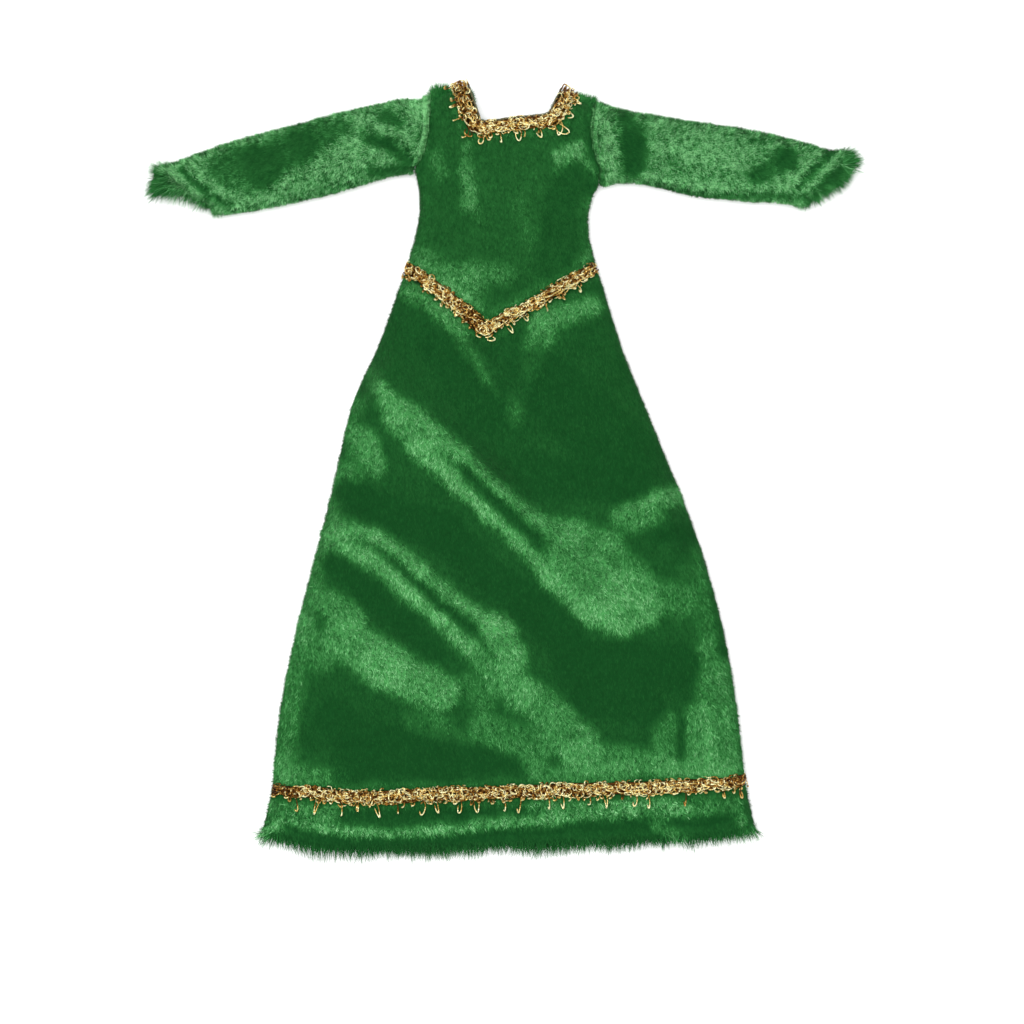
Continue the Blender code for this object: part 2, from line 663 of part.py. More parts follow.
def make_braid(name, table, over):
    """A braid lying on the cloth whose outer face is over(x, y): its points are the cloth's, moved out."""
    bm = bmesh.new()
    rings = []
    for x, y, side_x, side_y, width, reach in braid_line(table):
        ring = []
        for across, share in BRAID_PROFILE:
            off = across * width / 2 - (reach if across == -1.0 else 0.0)
            px, py = x + side_x * off, y + side_y * off
            ring.append((px, py, over(px, py) + GAP + share * BRAID_THICK))
        for across in (1.0, -0.5, -1.0):
            off = across * width / 2 - (reach if across == -1.0 else 0.0)
            px, py = x + side_x * off, y + side_y * off
            ring.append((px, py, over(px, py) + GAP))
        rings.append([bm.verts.new((px * MM, py * MM, z * MM)) for px, py, z in ring])
    count = len(rings[0])
    for near, far in zip(rings, rings[1:]):
        for k in range(count):
            after = (k + 1) % count
            bm.faces.new((near[k], near[after], far[after], far[k]))
    bm.faces.new(rings[0])
    bm.faces.new(list(reversed(rings[-1])))
    return add_object(name, bm, gold())


def over_waist(x, y):
    """Outer face of the cloth on both sides of the waist seam."""
    return max(bodice_over(x, y), skirt_over(x, y))


def clear_scene():
    for old in list(bpy.data.objects):
        bpy.data.objects.remove(old, do_unlink=True)


def main():
    clear_scene()
    make_skirt_back("skirt_back_left", -1)
    make_skirt_back("skirt_back_right", 1)
    make_bodice_back("bodice_back_left", -1)
    make_bodice_back("bodice_back_right", 1)
    make_skirt_front()
    make_bodice_front()
    make_sleeve("sleeve_left", SLEEVE_LEFT, SLEEVE_LEFT_FOLDS)
    make_sleeve("sleeve_right", SLEEVE_RIGHT, SLEEVE_RIGHT_FOLDS)
    make_braid("braid_neck", NECK_BRAID, bodice_over)
    make_braid("braid_waist", WAIST_BRAID, over_waist)
    make_braid("braid_hem", HEM_BRAID, skirt_over)


main()
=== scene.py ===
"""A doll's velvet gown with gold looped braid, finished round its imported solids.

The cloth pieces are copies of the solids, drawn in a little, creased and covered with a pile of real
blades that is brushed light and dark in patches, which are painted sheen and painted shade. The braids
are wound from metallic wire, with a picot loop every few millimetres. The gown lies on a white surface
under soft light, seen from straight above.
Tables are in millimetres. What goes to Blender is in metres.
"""

import math
from typing import NamedTuple

import bpy
import numpy as np
from bpy.props import FloatProperty, FloatVectorProperty, IntProperty, PointerProperty
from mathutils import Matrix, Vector
from mathutils.bvhtree import BVHTree


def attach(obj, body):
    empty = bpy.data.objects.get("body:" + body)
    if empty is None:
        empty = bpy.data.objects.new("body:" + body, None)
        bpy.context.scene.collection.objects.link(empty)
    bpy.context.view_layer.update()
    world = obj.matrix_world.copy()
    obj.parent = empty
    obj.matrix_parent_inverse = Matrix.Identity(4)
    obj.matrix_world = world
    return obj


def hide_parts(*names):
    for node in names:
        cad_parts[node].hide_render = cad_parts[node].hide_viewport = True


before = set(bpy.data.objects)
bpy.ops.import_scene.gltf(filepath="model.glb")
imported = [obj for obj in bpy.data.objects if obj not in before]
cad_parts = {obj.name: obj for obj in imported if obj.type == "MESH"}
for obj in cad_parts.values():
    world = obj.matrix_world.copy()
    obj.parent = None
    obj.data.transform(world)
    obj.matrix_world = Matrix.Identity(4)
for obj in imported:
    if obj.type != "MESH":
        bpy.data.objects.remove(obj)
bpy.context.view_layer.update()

bl_info = {
    "name": "Velvet gown",
    "version": (1, 0, 0),
    "blender": (4, 5, 0),
    "location": "3D View > Sidebar > Gown",
    "description": "Finishes a doll's velvet gown: its cloth, pile, braids and the surface it lies on",
    "category": "Object",
}

MM = 0.001
UP = np.array((0.0, 0.0, 1.0))


class Cloth(NamedTuple):
    """A piece of velvet: its node, how often it is subdivided, the cut of what shows of it in metres,
    what it lies on, how many blades of pile it has, which way they lie, how curly and how long they are,
    and how ragged they are at a raw edge."""

    node: str
    levels: int
    width: float
    length: float
    area: float
    rests_on: tuple
    blades: int
    lay: tuple
    curl: float
    long: float
    ragged: float


class Crease(NamedTuple):
    """A fine ridge of the cloth, or a trough where height is below zero."""

    x0: float
    y0: float
    x1: float
    y1: float
    height: float
    half_width: float


class Brush(NamedTuple):
    """A stroke that brushes the pile light, or dark where light is below zero, and its half width at
    either end. Its light is painted sheen and its dark painted shade."""

    x0: float
    y0: float
    x1: float
    y1: float
    from_half: float
    to_half: float
    light: float


class EdgePoint(NamedTuple):
    """A point of a raw edge: the way its pile points, how far the backing stops short of it, and how
    long the pile is there."""

    x: float
    y: float
    out_x: float
    out_y: float
    short: float
    long: float


class LinePoint(NamedTuple):
    """A point of the middle line of a braid or a seam, with its width there and its tone: how brown a
    braid's wire is, or how light a seam's pile, as painted sheen on its ridge."""

    x: float
    y: float
    width: float
    tone: float


class Seam(NamedTuple):
    """A sewn seam that stands up in a ridge: its name, its points, and its pile as for a cloth."""

    name: str
    points: tuple
    lay: tuple
    blades: int = 8000
    curl: float = 0.9
    long: float = 0.42
    ragged: float = 0.3


class Picot(NamedTuple):
    """A picot loop: where its tip hangs, its half width, how far it leans along the braid, and its tone."""

    x: float
    y: float
    half: float
    lean: float
    tone: float


class Braid(NamedTuple):
    """A braid: its node, its points, its picots, and the side of its dark edge cord, or 0 for none."""

    node: str
    points: tuple
    picots: tuple
    edging: int


class Tangle(NamedTuple):
    """One looping wire of a braid: its pitch against the braid's own, where it starts, its lane across,
    how far it reaches from there, and its height."""

    pitch: float
    start: float
    lane: float
    reach: float
    height: float


def table(kind, *rows):
    """A table of one kind of row."""
    return tuple(kind(*row) for row in rows)


DOWN = (0.12, -1.0)
SKIRT_BACKS = ("skirt_back_left", "skirt_back_right")
BODICE_BACKS = ("bodice_back_left", "bodice_back_right")

CLOTHS = (
    Cloth("skirt_back_left", 1, 0.039, 0.091, 0.0025, (), 9000, DOWN, 0.6, 1.0, 0.3),
    Cloth("skirt_back_right", 1, 0.039, 0.091, 0.0024, (), 9000, DOWN, 0.6, 1.0, 0.3),
    Cloth("bodice_back_left", 1, 0.016, 0.029, 0.00032, (), 3000, DOWN, 0.6, 1.0, 0.3),
    Cloth("bodice_back_right", 1, 0.016, 0.029, 0.00032, (), 3000, DOWN, 0.6, 1.0, 0.3),
    Cloth("skirt_front", 2, 0.078, 0.092, 0.0050, SKIRT_BACKS, 195000, DOWN, 0.55, 0.9, 0.3),
    Cloth("bodice_front", 2, 0.031, 0.038, 0.0008, BODICE_BACKS, 80000, DOWN, 0.6, 0.85, 0.3),
    Cloth("sleeve_left", 2, 0.027, 0.044, 0.0009, (), 80000, (-0.85, -0.52), 1.25, 1.0, 1.3),
    Cloth("sleeve_right", 2, 0.027, 0.044, 0.0009, (), 80000, (0.85, -0.52), 1.25, 1.0, 1.3),
)

CREASES = table(
    Crease,
    (-6.6, 0.4, 4.4, -10.2, -0.5, 1.1),
    (-17.0, -14.4, -5.0, -24.8, -0.45, 1.1),
    (-26.5, -15.4, -14.0, -25.5, -0.35, 1.8),
    (-19.0, 12.6, -12.6, 5.0, 0.35, 1.6),
    (-24.0, 10.0, -17.0, -1.0, -0.3, 1.6),
    (-6.2, 19.6, -2.0, 12.5, 0.3, 1.3),
    (6.2, 19.6, 2.0, 8.0, 0.3, 1.6),
    (17.5, -7.4, 27.0, -4.0, 0.35, 1.5),
    (22.0, -10.8, 30.0, -10.4, -0.35, 2.0),
    (7.4, -16.6, 18.4, -24.8, 0.3, 1.8),
    (27.6, -39.2, 27.0, -44.6, -0.4, 0.8),
    (4.2, -33.0, 11.6, -42.0, 0.3, 1.6),
    (-18.0, -29.6, -9.6, -34.2, 0.3, 1.6),
    (-17.4, 50.0, -14.9, 47.8, -0.45, 0.8),
    (-20.6, 51.6, -18.0, 50.2, -0.4, 1.0),
    (-17.6, 54.4, -15.6, 52.8, -0.35, 0.9),
    (-34.0, 44.8, -20.0, 49.0, 0.3, 1.2),
    (19.2, 53.4, 20.0, 47.4, -0.35, 1.3),
    (16.0, 53.5, 17.4, 47.4, 0.3, 1.3),
    (17.0, 45.3, 21.1, 45.6, 0.35, 0.8),
    (21.1, 45.6, 30.4, 43.6, 0.35, 0.8),
    (30.4, 43.6, 43.0, 43.6, 0.3, 0.8),
    (40.0, 45.6, 45.5, 48.0, -0.3, 1.4),
)

# The pile's strokes of painted sheen and shade, each laid over the ones before it. On the skirt the hem's
# come last
SKIRT_BRUSHES = table(
    Brush,
    (-20.6, 15.0, -19.0, 11.0, 1.0, 1.4, 0.35),
    (-18.9, 12.6, -16.8, 8.6, 1.3, 1.8, 0.7),
    (-15.8, 8.0, -12.6, 5.0, 2.6, 2.4, 0.7),
    (-12.6, 8.2, -11.4, 6.8, 1.2, 1.2, 0.5),
    (-13.2, 3.2, -8.0, -1.8, 1.8, 1.3, 0.9),
    (-8.0, -1.8, -2.6, -6.5, 1.2, 1.05, 0.9),
    (-2.6, -6.5, 2.5, -11.2, 1.05, 1.0, 0.9),
    (2.5, -11.2, 7.4, -16.6, 1.0, 1.2, 0.9),
    (-10.6, 5.8, -6.6, 2.4, 1.4, 1.0, 0.65),
    (-6.6, 2.4, -0.4, -3.4, 0.9, 0.9, 0.65),
    (-0.4, -3.4, 4.8, -7.4, 1.0, 1.2, 0.65),
    (-10.5, 4.0, -6.5, 0.6, 1.2, 0.8, 0.5),
    (-21.0, 4.6, -19.8, 0.4, 1.8, 1.5, 0.7),
    (-23.2, 6.0, -23.0, -1.0, 1.2, 1.5, 0.4),
    (-22.5, 10.5, -23.8, 5.0, 1.1, 1.2, 0.35),
    (-25.2, 0.0, -27.0, -7.0, 1.4, 1.4, 0.45),
    (-6.2, 19.6, -2.9, 14.2, 1.0, 0.8, 0.3),
    (-2.7, 14.0, -1.2, 11.2, 0.8, 0.6, 0.15),
    (6.2, 21.4, 4.0, 15.8, 2.2, 1.8, 0.5),
    (3.4, 15.6, 1.9, 8.0, 1.3, 1.1, 0.28),
    (5.6, 23.2, 13.4, 25.2, 1.6, 1.9, 0.68),
    (-14.6, 27.4, -10.0, 25.0, 1.5, 1.4, 0.62),
    (-9.6, 24.0, -6.8, 21.6, 1.4, 1.2, 0.66),
    (4.8, -8.2, 11.0, -9.8, 1.2, 2.0, 0.6),
    (11.0, -10.2, 17.0, -11.2, 2.0, 1.8, 0.45),
    (9.0, -13.0, 16.0, -18.6, 2.8, 3.8, 0.6),
    (16.0, -12.8, 20.5, -18.0, 2.4, 3.2, 0.45),
    (18.0, -18.8, 27.0, -20.2, 3.2, 2.6, 0.42),
    (14.0, -21.6, 22.0, -21.4, 2.2, 2.2, 0.6),
    (7.4, -16.6, 12.6, -22.0, 1.4, 1.5, 0.9),
    (12.6, -22.0, 18.4, -24.8, 1.5, 1.3, 0.9),
    (18.4, -24.8, 22.4, -23.2, 1.2, 1.1, 0.7),
    (17.8, -7.4, 22.0, -4.9, 1.5, 1.5, 0.7),
    (22.0, -4.9, 26.8, -4.0, 1.6, 1.6, 0.7),
    (-26.0, -8.8, -19.8, -10.2, 1.5, 1.2, 0.7),
    (-19.8, -10.2, -12.4, -15.7, 1.2, 1.1, 0.85),
    (-12.4, -15.7, -6.6, -20.6, 1.0, 1.0, 0.75),
    (-6.6, -20.6, -2.5, -23.2, 1.0, 1.2, 0.75),
    (-2.5, -23.4, 1.0, -24.4, 1.2, 1.4, 0.75),
    (-26.8, -10.6, -21.7, -13.4, 1.5, 1.4, 0.8),
    (-21.7, -13.4, -15.0, -18.6, 1.4, 1.3, 0.85),
    (-15.0, -18.6, -10.0, -23.1, 1.3, 1.2, 0.85),
    (-10.0, -23.1, -5.4, -27.6, 1.2, 1.5, 0.85),
    (-1.5, -24.5, 1.2, -29.5, 2.2, 2.2, 0.7),
    (-4.5, -28.5, -1.0, -33.0, 1.6, 2.0, 0.6),
    (1.2, -29.5, 2.5, -35.5, 2.2, 2.4, 0.6),
    (-27.2, -20.6, -23.0, -23.4, 2.0, 2.4, 0.6),
    (-24.6, -26.0, -18.6, -30.2, 3.2, 3.8, 0.7),
    (-18.6, -30.6, -9.6, -34.6, 3.4, 2.8, 0.72),
    (-30.5, -24.0, -28.0, -29.5, 1.8, 2.2, 0.45),
    (-9.6, -35.0, -9.8, -38.0, 1.8, 2.0, 0.25),
    (-13.4, -38.4, -7.0, -42.2, 2.4, 2.2, 0.2),
    (-6.0, -33.0, -3.0, -36.0, 1.6, 1.8, 0.4),
    (-28.4, -10.0, -30.4, -22.0, 1.6, 1.8, 0.45),
    (-31.4, -24.0, -34.4, -46.4, 1.6, 2.0, 0.45),
    (-34.4, -46.4, -28.0, -47.6, 1.6, 1.2, 0.5),
    (4.2, -35.0, 11.6, -42.6, 2.6, 3.4, 0.6),
    (-3.0, -40.0, 4.6, -43.4, 2.6, 3.2, 0.45),
    (11.0, -44.2, 27.0, -46.0, 2.4, 1.8, 0.5),
    (25.0, -39.4, 24.6, -45.6, 1.8, 2.2, 0.4),
    (30.0, -38.4, 30.6, -45.6, 2.2, 2.6, 0.6),
    (31.2, -28.0, 33.4, -46.0, 1.8, 2.6, 0.5),
    (28.5, -16.0, 31.0, -27.0, 1.2, 1.2, 0.2),
    (27.0, -46.4, 35.0, -46.6, 1.6, 1.4, 0.45),
    # Dark strokes: painted shade in the creases' troughs, and broad stretches where the pile shows no sheen
    (-6.6, 0.4, -1.2, -4.8, 0.5, 0.7, -0.6),
    (-1.2, -4.8, 4.4, -10.2, 0.8, 1.2, -0.7),
    (-17.0, -14.4, -12.5, -18.0, 0.5, 0.6, -0.4),
    (-12.5, -18.0, -5.0, -24.8, 0.6, 0.7, -0.5),
    (-26.2, -15.2, -20.5, -19.9, 1.8, 2.0, -0.9),
    (-20.5, -19.9, -15.0, -24.3, 2.0, 2.0, -0.9),
    (-15.0, -24.3, -10.0, -28.8, 1.9, 1.4, -0.8),
    (-24.4, -3.8, -9.6, -9.8, 2.2, 3.0, -0.9),
    (-9.6, -9.8, 5.2, -22.2, 2.8, 2.8, -0.9),
    (5.2, -22.2, 12.6, -30.0, 2.8, 3.2, -0.9),
    (24.0, -10.6, 28.0, -9.8, 1.1, 1.9, -0.8),
    (27.0, -10.4, 30.0, -14.0, 1.4, 1.4, -0.6),
    (11.0, -30.0, 26.6, -30.6, 3.2, 3.8, -0.92),
    (13.0, -34.6, 22.0, -37.0, 3.2, 3.0, -0.85),
    (27.6, -39.2, 27.0, -44.6, 0.5, 0.6, -0.7),
    (-26.6, -38.0, -21.0, -44.2, 2.6, 3.2, -0.85),
    (6.0, 14.0, 20.0, 1.0, 5.0, 5.0, -0.7),
    (-11.0, 18.6, -3.0, 8.6, 2.6, 3.2, -0.7),
    (5.0, -1.0, 20.0, -2.6, 3.6, 2.6, -0.7),
    (20.0, -9.2, 23.6, -7.2, 1.1, 1.2, 0.6),
    (4.6, -46.9, 20.0, -46.7, 1.2, 1.2, 0.5),
    (29.6, -13.0, 32.2, -26.0, 0.9, 0.9, 0.3),
    (33.8, -30.0, 36.4, -46.0, 0.9, 1.0, 0.5),
    (-19.0, -42.2, 1.0, -46.0, 3.0, 1.6, -0.9),
    (-24.6, -46.2, -8.0, -47.2, 1.6, 1.6, -0.85),
    # The hem: painted sheen on its ridge and, to the right, just below the braid
    (-36.4, -52.4, -27.0, -53.2, 1.2, 1.4, 0.5),
    (-34.8, -54.8, -37.8, -57.4, 1.1, 1.1, 0.75),
    (-34.0, -54.8, -28.0, -55.6, 0.8, 0.8, 0.6),
    (-28.0, -55.7, -18.0, -56.6, 0.8, 0.8, 0.78),
    (-18.0, -56.6, -10.0, -55.9, 0.8, 0.85, 0.8),
    (-10.0, -55.9, 0.0, -54.7, 0.85, 0.9, 0.75),
    (0.0, -54.6, 8.0, -53.8, 0.9, 1.0, 0.7),
    (8.0, -53.6, 20.0, -52.8, 1.2, 1.3, 0.6),
    (20.0, -52.4, 28.0, -52.2, 1.4, 1.2, 0.6),
    (28.0, -52.2, 36.0, -51.6, 1.0, 1.0, 0.45),
    (4.0, -51.8, 26.0, -51.2, 0.8, 0.9, 0.4),
    # Painted shadow of the braid and its picots on the cloth below it
    (-24.0, -53.2, -2.0, -52.8, 0.9, 0.9, -0.65),
    # Painted shade in the hem's stitched groove
    (-33.6, -55.4, -30.0, -56.9, 0.35, 0.5, -0.85),
    (-30.0, -56.9, -20.0, -57.9, 0.5, 0.6, -0.9),
    (-20.0, -57.9, -10.0, -57.3, 0.65, 0.65, -0.9),
    (-10.0, -57.3, 2.0, -56.3, 0.65, 0.7, -0.9),
    (2.0, -56.3, 12.0, -55.5, 0.75, 0.7, -0.85),
    (12.0, -55.5, 24.0, -55.0, 0.7, 0.6, -0.85),
    (27.0, -54.5, 35.5, -54.0, 0.6, 0.6, -0.85),
    (24.0, -55.0, 27.5, -57.5, 0.9, 1.0, 0.4),
    (36.4, -53.6, 38.4, -56.2, 0.9, 0.9, 0.45),
)
BODICE_BRUSHES = table(
    Brush,
    (-6.0, 46.0, -5.5, 41.0, 0.9, 1.1, 0.95),
    (-5.9, 50.2, -5.8, 46.6, 0.6, 0.7, 0.45),
    (-5.2, 40.6, -4.0, 38.4, 0.75, 0.6, 0.2),
    (-11.8, 49.4, -9.6, 46.2, 1.1, 1.2, 0.45),
    (8.6, 48.4, 11.2, 49.6, 1.2, 1.2, 0.9),
    (8.2, 49.0, 8.0, 45.8, 0.6, 0.6, 0.2),
    (11.6, 48.4, 14.6, 46.2, 0.6, 0.7, 0.6),
    (-13.4, 33.2, -5.4, 28.6, 1.5, 2.2, 0.48),
    (-5.0, 31.4, 0.6, 29.6, 1.6, 1.5, 0.34),
    (-9.0, 29.4, -3.6, 25.2, 0.7, 0.5, 0.45),
    (2.6, 41.0, 4.2, 35.0, 1.6, 1.6, 0.12),
    (11.2, 31.8, 13.6, 34.2, 0.85, 0.75, 0.35),
    # Painted sheen along the left armhole seam
    (-11.4, 58.0, -11.4, 51.0, 0.45, 0.45, 0.3),
    (13.4, 36.0, 13.0, 42.0, 0.45, 0.45, 0.25),
    (8.0, 31.6, 9.0, 43.0, 3.2, 2.4, -0.6),
    (11.0, 46.0, 12.6, 43.6, 1.2, 1.2, -0.7),
    (-1.0, 27.4, 2.0, 28.4, 0.9, 0.9, -0.5),
    (-8.0, 34.0, -8.0, 46.0, 3.0, 3.0, -0.25),
    # Painted shade on the bodice beside the armhole seams
    (-11.2, 56.4, -11.3, 50.0, 0.5, 0.5, -0.7),
    (-11.3, 50.0, -12.8, 46.6, 0.4, 0.5, -0.5),
    (12.6, 54.6, 13.2, 50.4, 0.4, 0.4, -0.55),
    (13.2, 50.4, 14.8, 46.4, 0.45, 0.6, -0.6),
)
SLEEVE_BRUSHES = table(
    Brush,
    (-15.0, 55.5, -48.0, 46.6, 4.2, 4.6, 0.64),
    (-16.0, 48.0, -42.0, 41.8, 4.4, 4.0, 0.6),
    (-34.0, 44.8, -20.0, 49.0, 1.6, 2.0, 0.45),
    (-22.5, 55.0, -19.0, 52.6, 1.6, 1.6, 0.4),
    (-14.6, 56.6, -13.2, 52.6, 1.2, 1.0, 0.5),
    (-18.2, 52.6, -15.2, 51.0, 0.8, 0.8, 0.4),
    (-48.6, 48.0, -45.6, 44.2, 1.0, 0.8, 0.45),
    (-45.6, 44.2, -41.0, 41.6, 0.8, 0.8, 0.45),
    (-42.0, 41.0, -36.0, 41.8, 0.7, 0.7, 0.4),
    (-42.4, 46.0, -37.0, 47.0, 3.2, 3.6, -0.62),
    (-37.0, 47.4, -31.5, 50.2, 3.4, 2.6, -0.5),
    (-31.5, 50.4, -25.0, 52.9, 2.4, 1.6, -0.6),
    (-33.0, 47.2, -28.0, 48.6, 1.0, 1.0, -0.35),
    # Painted shade in the left cuff's stitched groove
    (-50.0, 46.4, -46.4, 43.3, 0.5, 0.55, -0.85),
    (-46.4, 43.3, -42.8, 40.9, 0.5, 0.4, -0.7),
    (-53.0, 47.0, -50.8, 44.8, 0.35, 0.35, 0.5),
    (-52.8, 47.2, -50.0, 44.4, 0.7, 0.7, 0.6),
    (-50.0, 44.4, -46.5, 41.6, 0.6, 0.6, 0.6),
    (-54.2, 45.4, -51.0, 43.0, 0.5, 0.5, -0.3),
    (-51.0, 42.8, -46.0, 39.4, 0.7, 0.7, -0.35),
    (-54.4, 47.6, -53.0, 46.4, 0.7, 0.7, 0.5),
    # Painted shade in the folds at the left sleeve's head and armpit
    (-18.2, 54.6, -16.2, 53.2, 1.0, 1.0, -0.8),
    (-20.6, 51.4, -18.0, 50.2, 1.0, 0.9, -0.9),
    (-18.0, 50.4, -14.9, 47.8, 0.8, 0.8, -0.9),
    (-20.6, 46.4, -15.4, 46.6, 0.8, 0.6, -0.8),
    (-31.0, 44.6, -27.0, 44.8, 0.4, 0.4, -0.35),
    (18.0, 53.6, 46.0, 48.2, 4.2, 3.2, 0.64),
    (17.0, 47.2, 44.0, 43.4, 4.2, 3.4, 0.6),
    (16.0, 52.8, 17.4, 47.4, 1.3, 1.2, 0.75),
    (28.0, 49.6, 36.0, 48.4, 2.4, 2.4, 0.3),
    (24.0, 52.6, 30.0, 52.0, 1.2, 1.2, 0.25),
    # Painted sheen along the ridge of the right sleeve's underarm
    (16.5, 45.1, 21.1, 45.6, 0.45, 0.5, 0.9),
    (21.1, 45.6, 25.0, 44.5, 0.5, 0.5, 0.9),
    (25.0, 44.5, 30.4, 43.6, 0.5, 0.5, 0.9),
    (30.4, 43.6, 43.0, 43.6, 0.55, 0.55, 0.85),
    (43.6, 43.6, 46.6, 46.8, 0.7, 0.8, 0.8),
    (46.6, 46.8, 49.0, 49.4, 0.8, 0.7, 0.8),
    (47.0, 43.0, 50.4, 47.0, 0.6, 0.7, 0.85),
    (50.4, 47.0, 52.2, 48.8, 0.7, 0.6, 0.7),
    # Painted shade in the right sleeve's fold
    (18.6, 54.4, 19.8, 50.6, 1.3, 1.8, -0.8),
    (19.8, 50.6, 19.8, 47.0, 2.0, 1.9, -0.9),
    (21.4, 53.4, 22.2, 49.0, 1.0, 1.0, -0.35),
    # Painted shade in the fold near the right cuff
    (38.6, 45.4, 43.4, 48.0, 1.4, 1.9, -0.75),
    (43.4, 48.0, 44.6, 47.2, 1.6, 1.0, -0.6),
    # Painted shade in the right cuff's stitched groove
    (45.6, 43.9, 49.3, 47.8, 0.4, 0.45, -0.7),
    (47.5, 41.4, 53.8, 47.2, 0.9, 0.9, -0.3),
    (51.6, 47.6, 53.8, 46.4, 0.35, 0.3, 0.6),
    (50.2, 43.6, 51.8, 42.6, 0.3, 0.3, 0.55),
    (48.4, 43.2, 49.2, 41.4, 0.3, 0.35, 0.5),
    (48.6, 40.6, 54.6, 46.4, 0.5, 0.5, 0.3),
    (43.0, 42.4, 46.8, 42.0, 0.5, 0.6, -0.5),
    # Painted shade under the underarm ridge
    (21.5, 44.4, 25.4, 43.3, 0.4, 0.45, -0.7),
    (25.4, 43.3, 30.6, 42.6, 0.45, 0.45, -0.7),
    (30.6, 42.6, 43.0, 42.5, 0.45, 0.45, -0.65),
    (25.4, 47.6, 27.4, 45.9, 0.6, 0.6, -0.35),
    (38.6, 50.6, 41.0, 51.2, 0.8, 0.6, -0.35),
)

# How light each kind of cloth's pile is before it is brushed, and its strokes, as painted sheen and shade
NAPS_AND_SHEENS = {
    "skirt": (0.06, SKIRT_BRUSHES),
    "bodice": (0.17, BODICE_BRUSHES),
    "sleeve": (0.06, SLEEVE_BRUSHES),
}

# Edges whose pile stands out past the cloth: the hem, the cuffs and the shoulders
RAW_EDGES = (
    table(
        EdgePoint,
        (-38.2, -57.0, -0.85, -0.55, 0.4, 1.6), (-36.2, -57.7, -0.3, -0.95, 0.7, 1.9),
        (-34.4, -58.3, 0.0, -1.0, 1.1, 2.1), (-31.5, -59.2, 0.0, -1.0, 0.9, 2.4),
        (-25.0, -60.0, 0.0, -1.0, 1.1, 2.3), (-10.0, -59.8, 0.0, -1.0, 1.3, 2.2),
        (5.0, -59.4, 0.0, -1.0, 1.4, 2.2), (20.0, -58.8, 0.0, -1.0, 1.2, 2.0),
        (32.0, -58.0, 0.05, -1.0, 0.9, 2.0), (37.4, -56.8, 0.2, -0.98, 0.7, 1.8),
        (39.5, -56.3, 0.85, -0.5, 0.4, 2.1),
    ),
    table(
        EdgePoint,
        (-54.7, 47.2, -0.95, 0.3, 0.9, 1.4), (-53.4, 44.8, -0.8, -0.6, 1.0, 1.8),
        (-52.0, 42.8, -0.6, -0.8, 1.3, 1.7), (-50.2, 41.3, -0.5, -0.85, 1.7, 1.5),
        (-48.5, 40.2, -0.6, -0.8, 1.3, 1.7), (-45.2, 38.6, -0.5, -0.85, 0.9, 1.7),
    ),
    table(
        EdgePoint,
        (54.5, 49.9, 0.8, 0.35, 1.2, 1.4), (54.2, 46.6, 0.98, -0.2, 1.0, 1.6),
        (51.6, 42.8, 0.8, -0.6, 1.4, 1.8), (47.3, 39.8, 0.45, -0.9, 1.1, 1.6),
    ),
    table(
        EdgePoint,
        (-12.6, 56.8, -0.4, 0.92, 1.3, 0.5), (-11.2, 58.5, -0.2, 0.98, 0.4, 1.3),
        (-9.0, 59.7, 0.0, 1.0, 0.5, 1.0), (-8.0, 60.0, 0.0, 1.0, 0.9, 0.5),
        (-5.6, 60.0, 0.1, 1.0, 0.9, 0.4),
    ),
    table(
        EdgePoint,
        (9.6, 59.3, 0.35, 0.94, 0.9, 0.4), (12.2, 58.2, 0.25, 0.97, 0.4, 1.0),
        (13.8, 57.2, 0.35, 0.94, 0.3, 0.9),
    ),
)
# Where the sleeves are set in; the seams' tones are painted sheen on their ridges
SEAMS = (
    Seam(
        "seam_left",
        table(
            LinePoint,
            (-12.0, 57.1, 1.3, 0.5), (-12.1, 56.2, 1.3, 0.9), (-12.1, 55.0, 1.3, 1.1),
            (-12.1, 53.0, 1.3, 1.1), (-12.4, 50.8, 1.3, 1.05), (-12.9, 49.0, 1.3, 0.9),
            (-14.1, 46.8, 1.2, 0.45),
        ),
        (-0.9, -0.4),
    ),
    Seam(
        "seam_right",
        table(
            LinePoint,
            (14.3, 56.4, 1.3, 0.4), (14.2, 55.2, 1.3, 0.9), (13.9, 52.5, 1.3, 0.9),
            (14.2, 49.8, 1.3, 0.7), (14.9, 47.8, 1.3, 0.75), (15.3, 46.4, 1.2, 0.45),
            (15.15, 45.2, 1.2, 0.35), (15.0, 43.9, 1.2, 0.3),
        ),
        (0.9, -0.4),
    ),
)

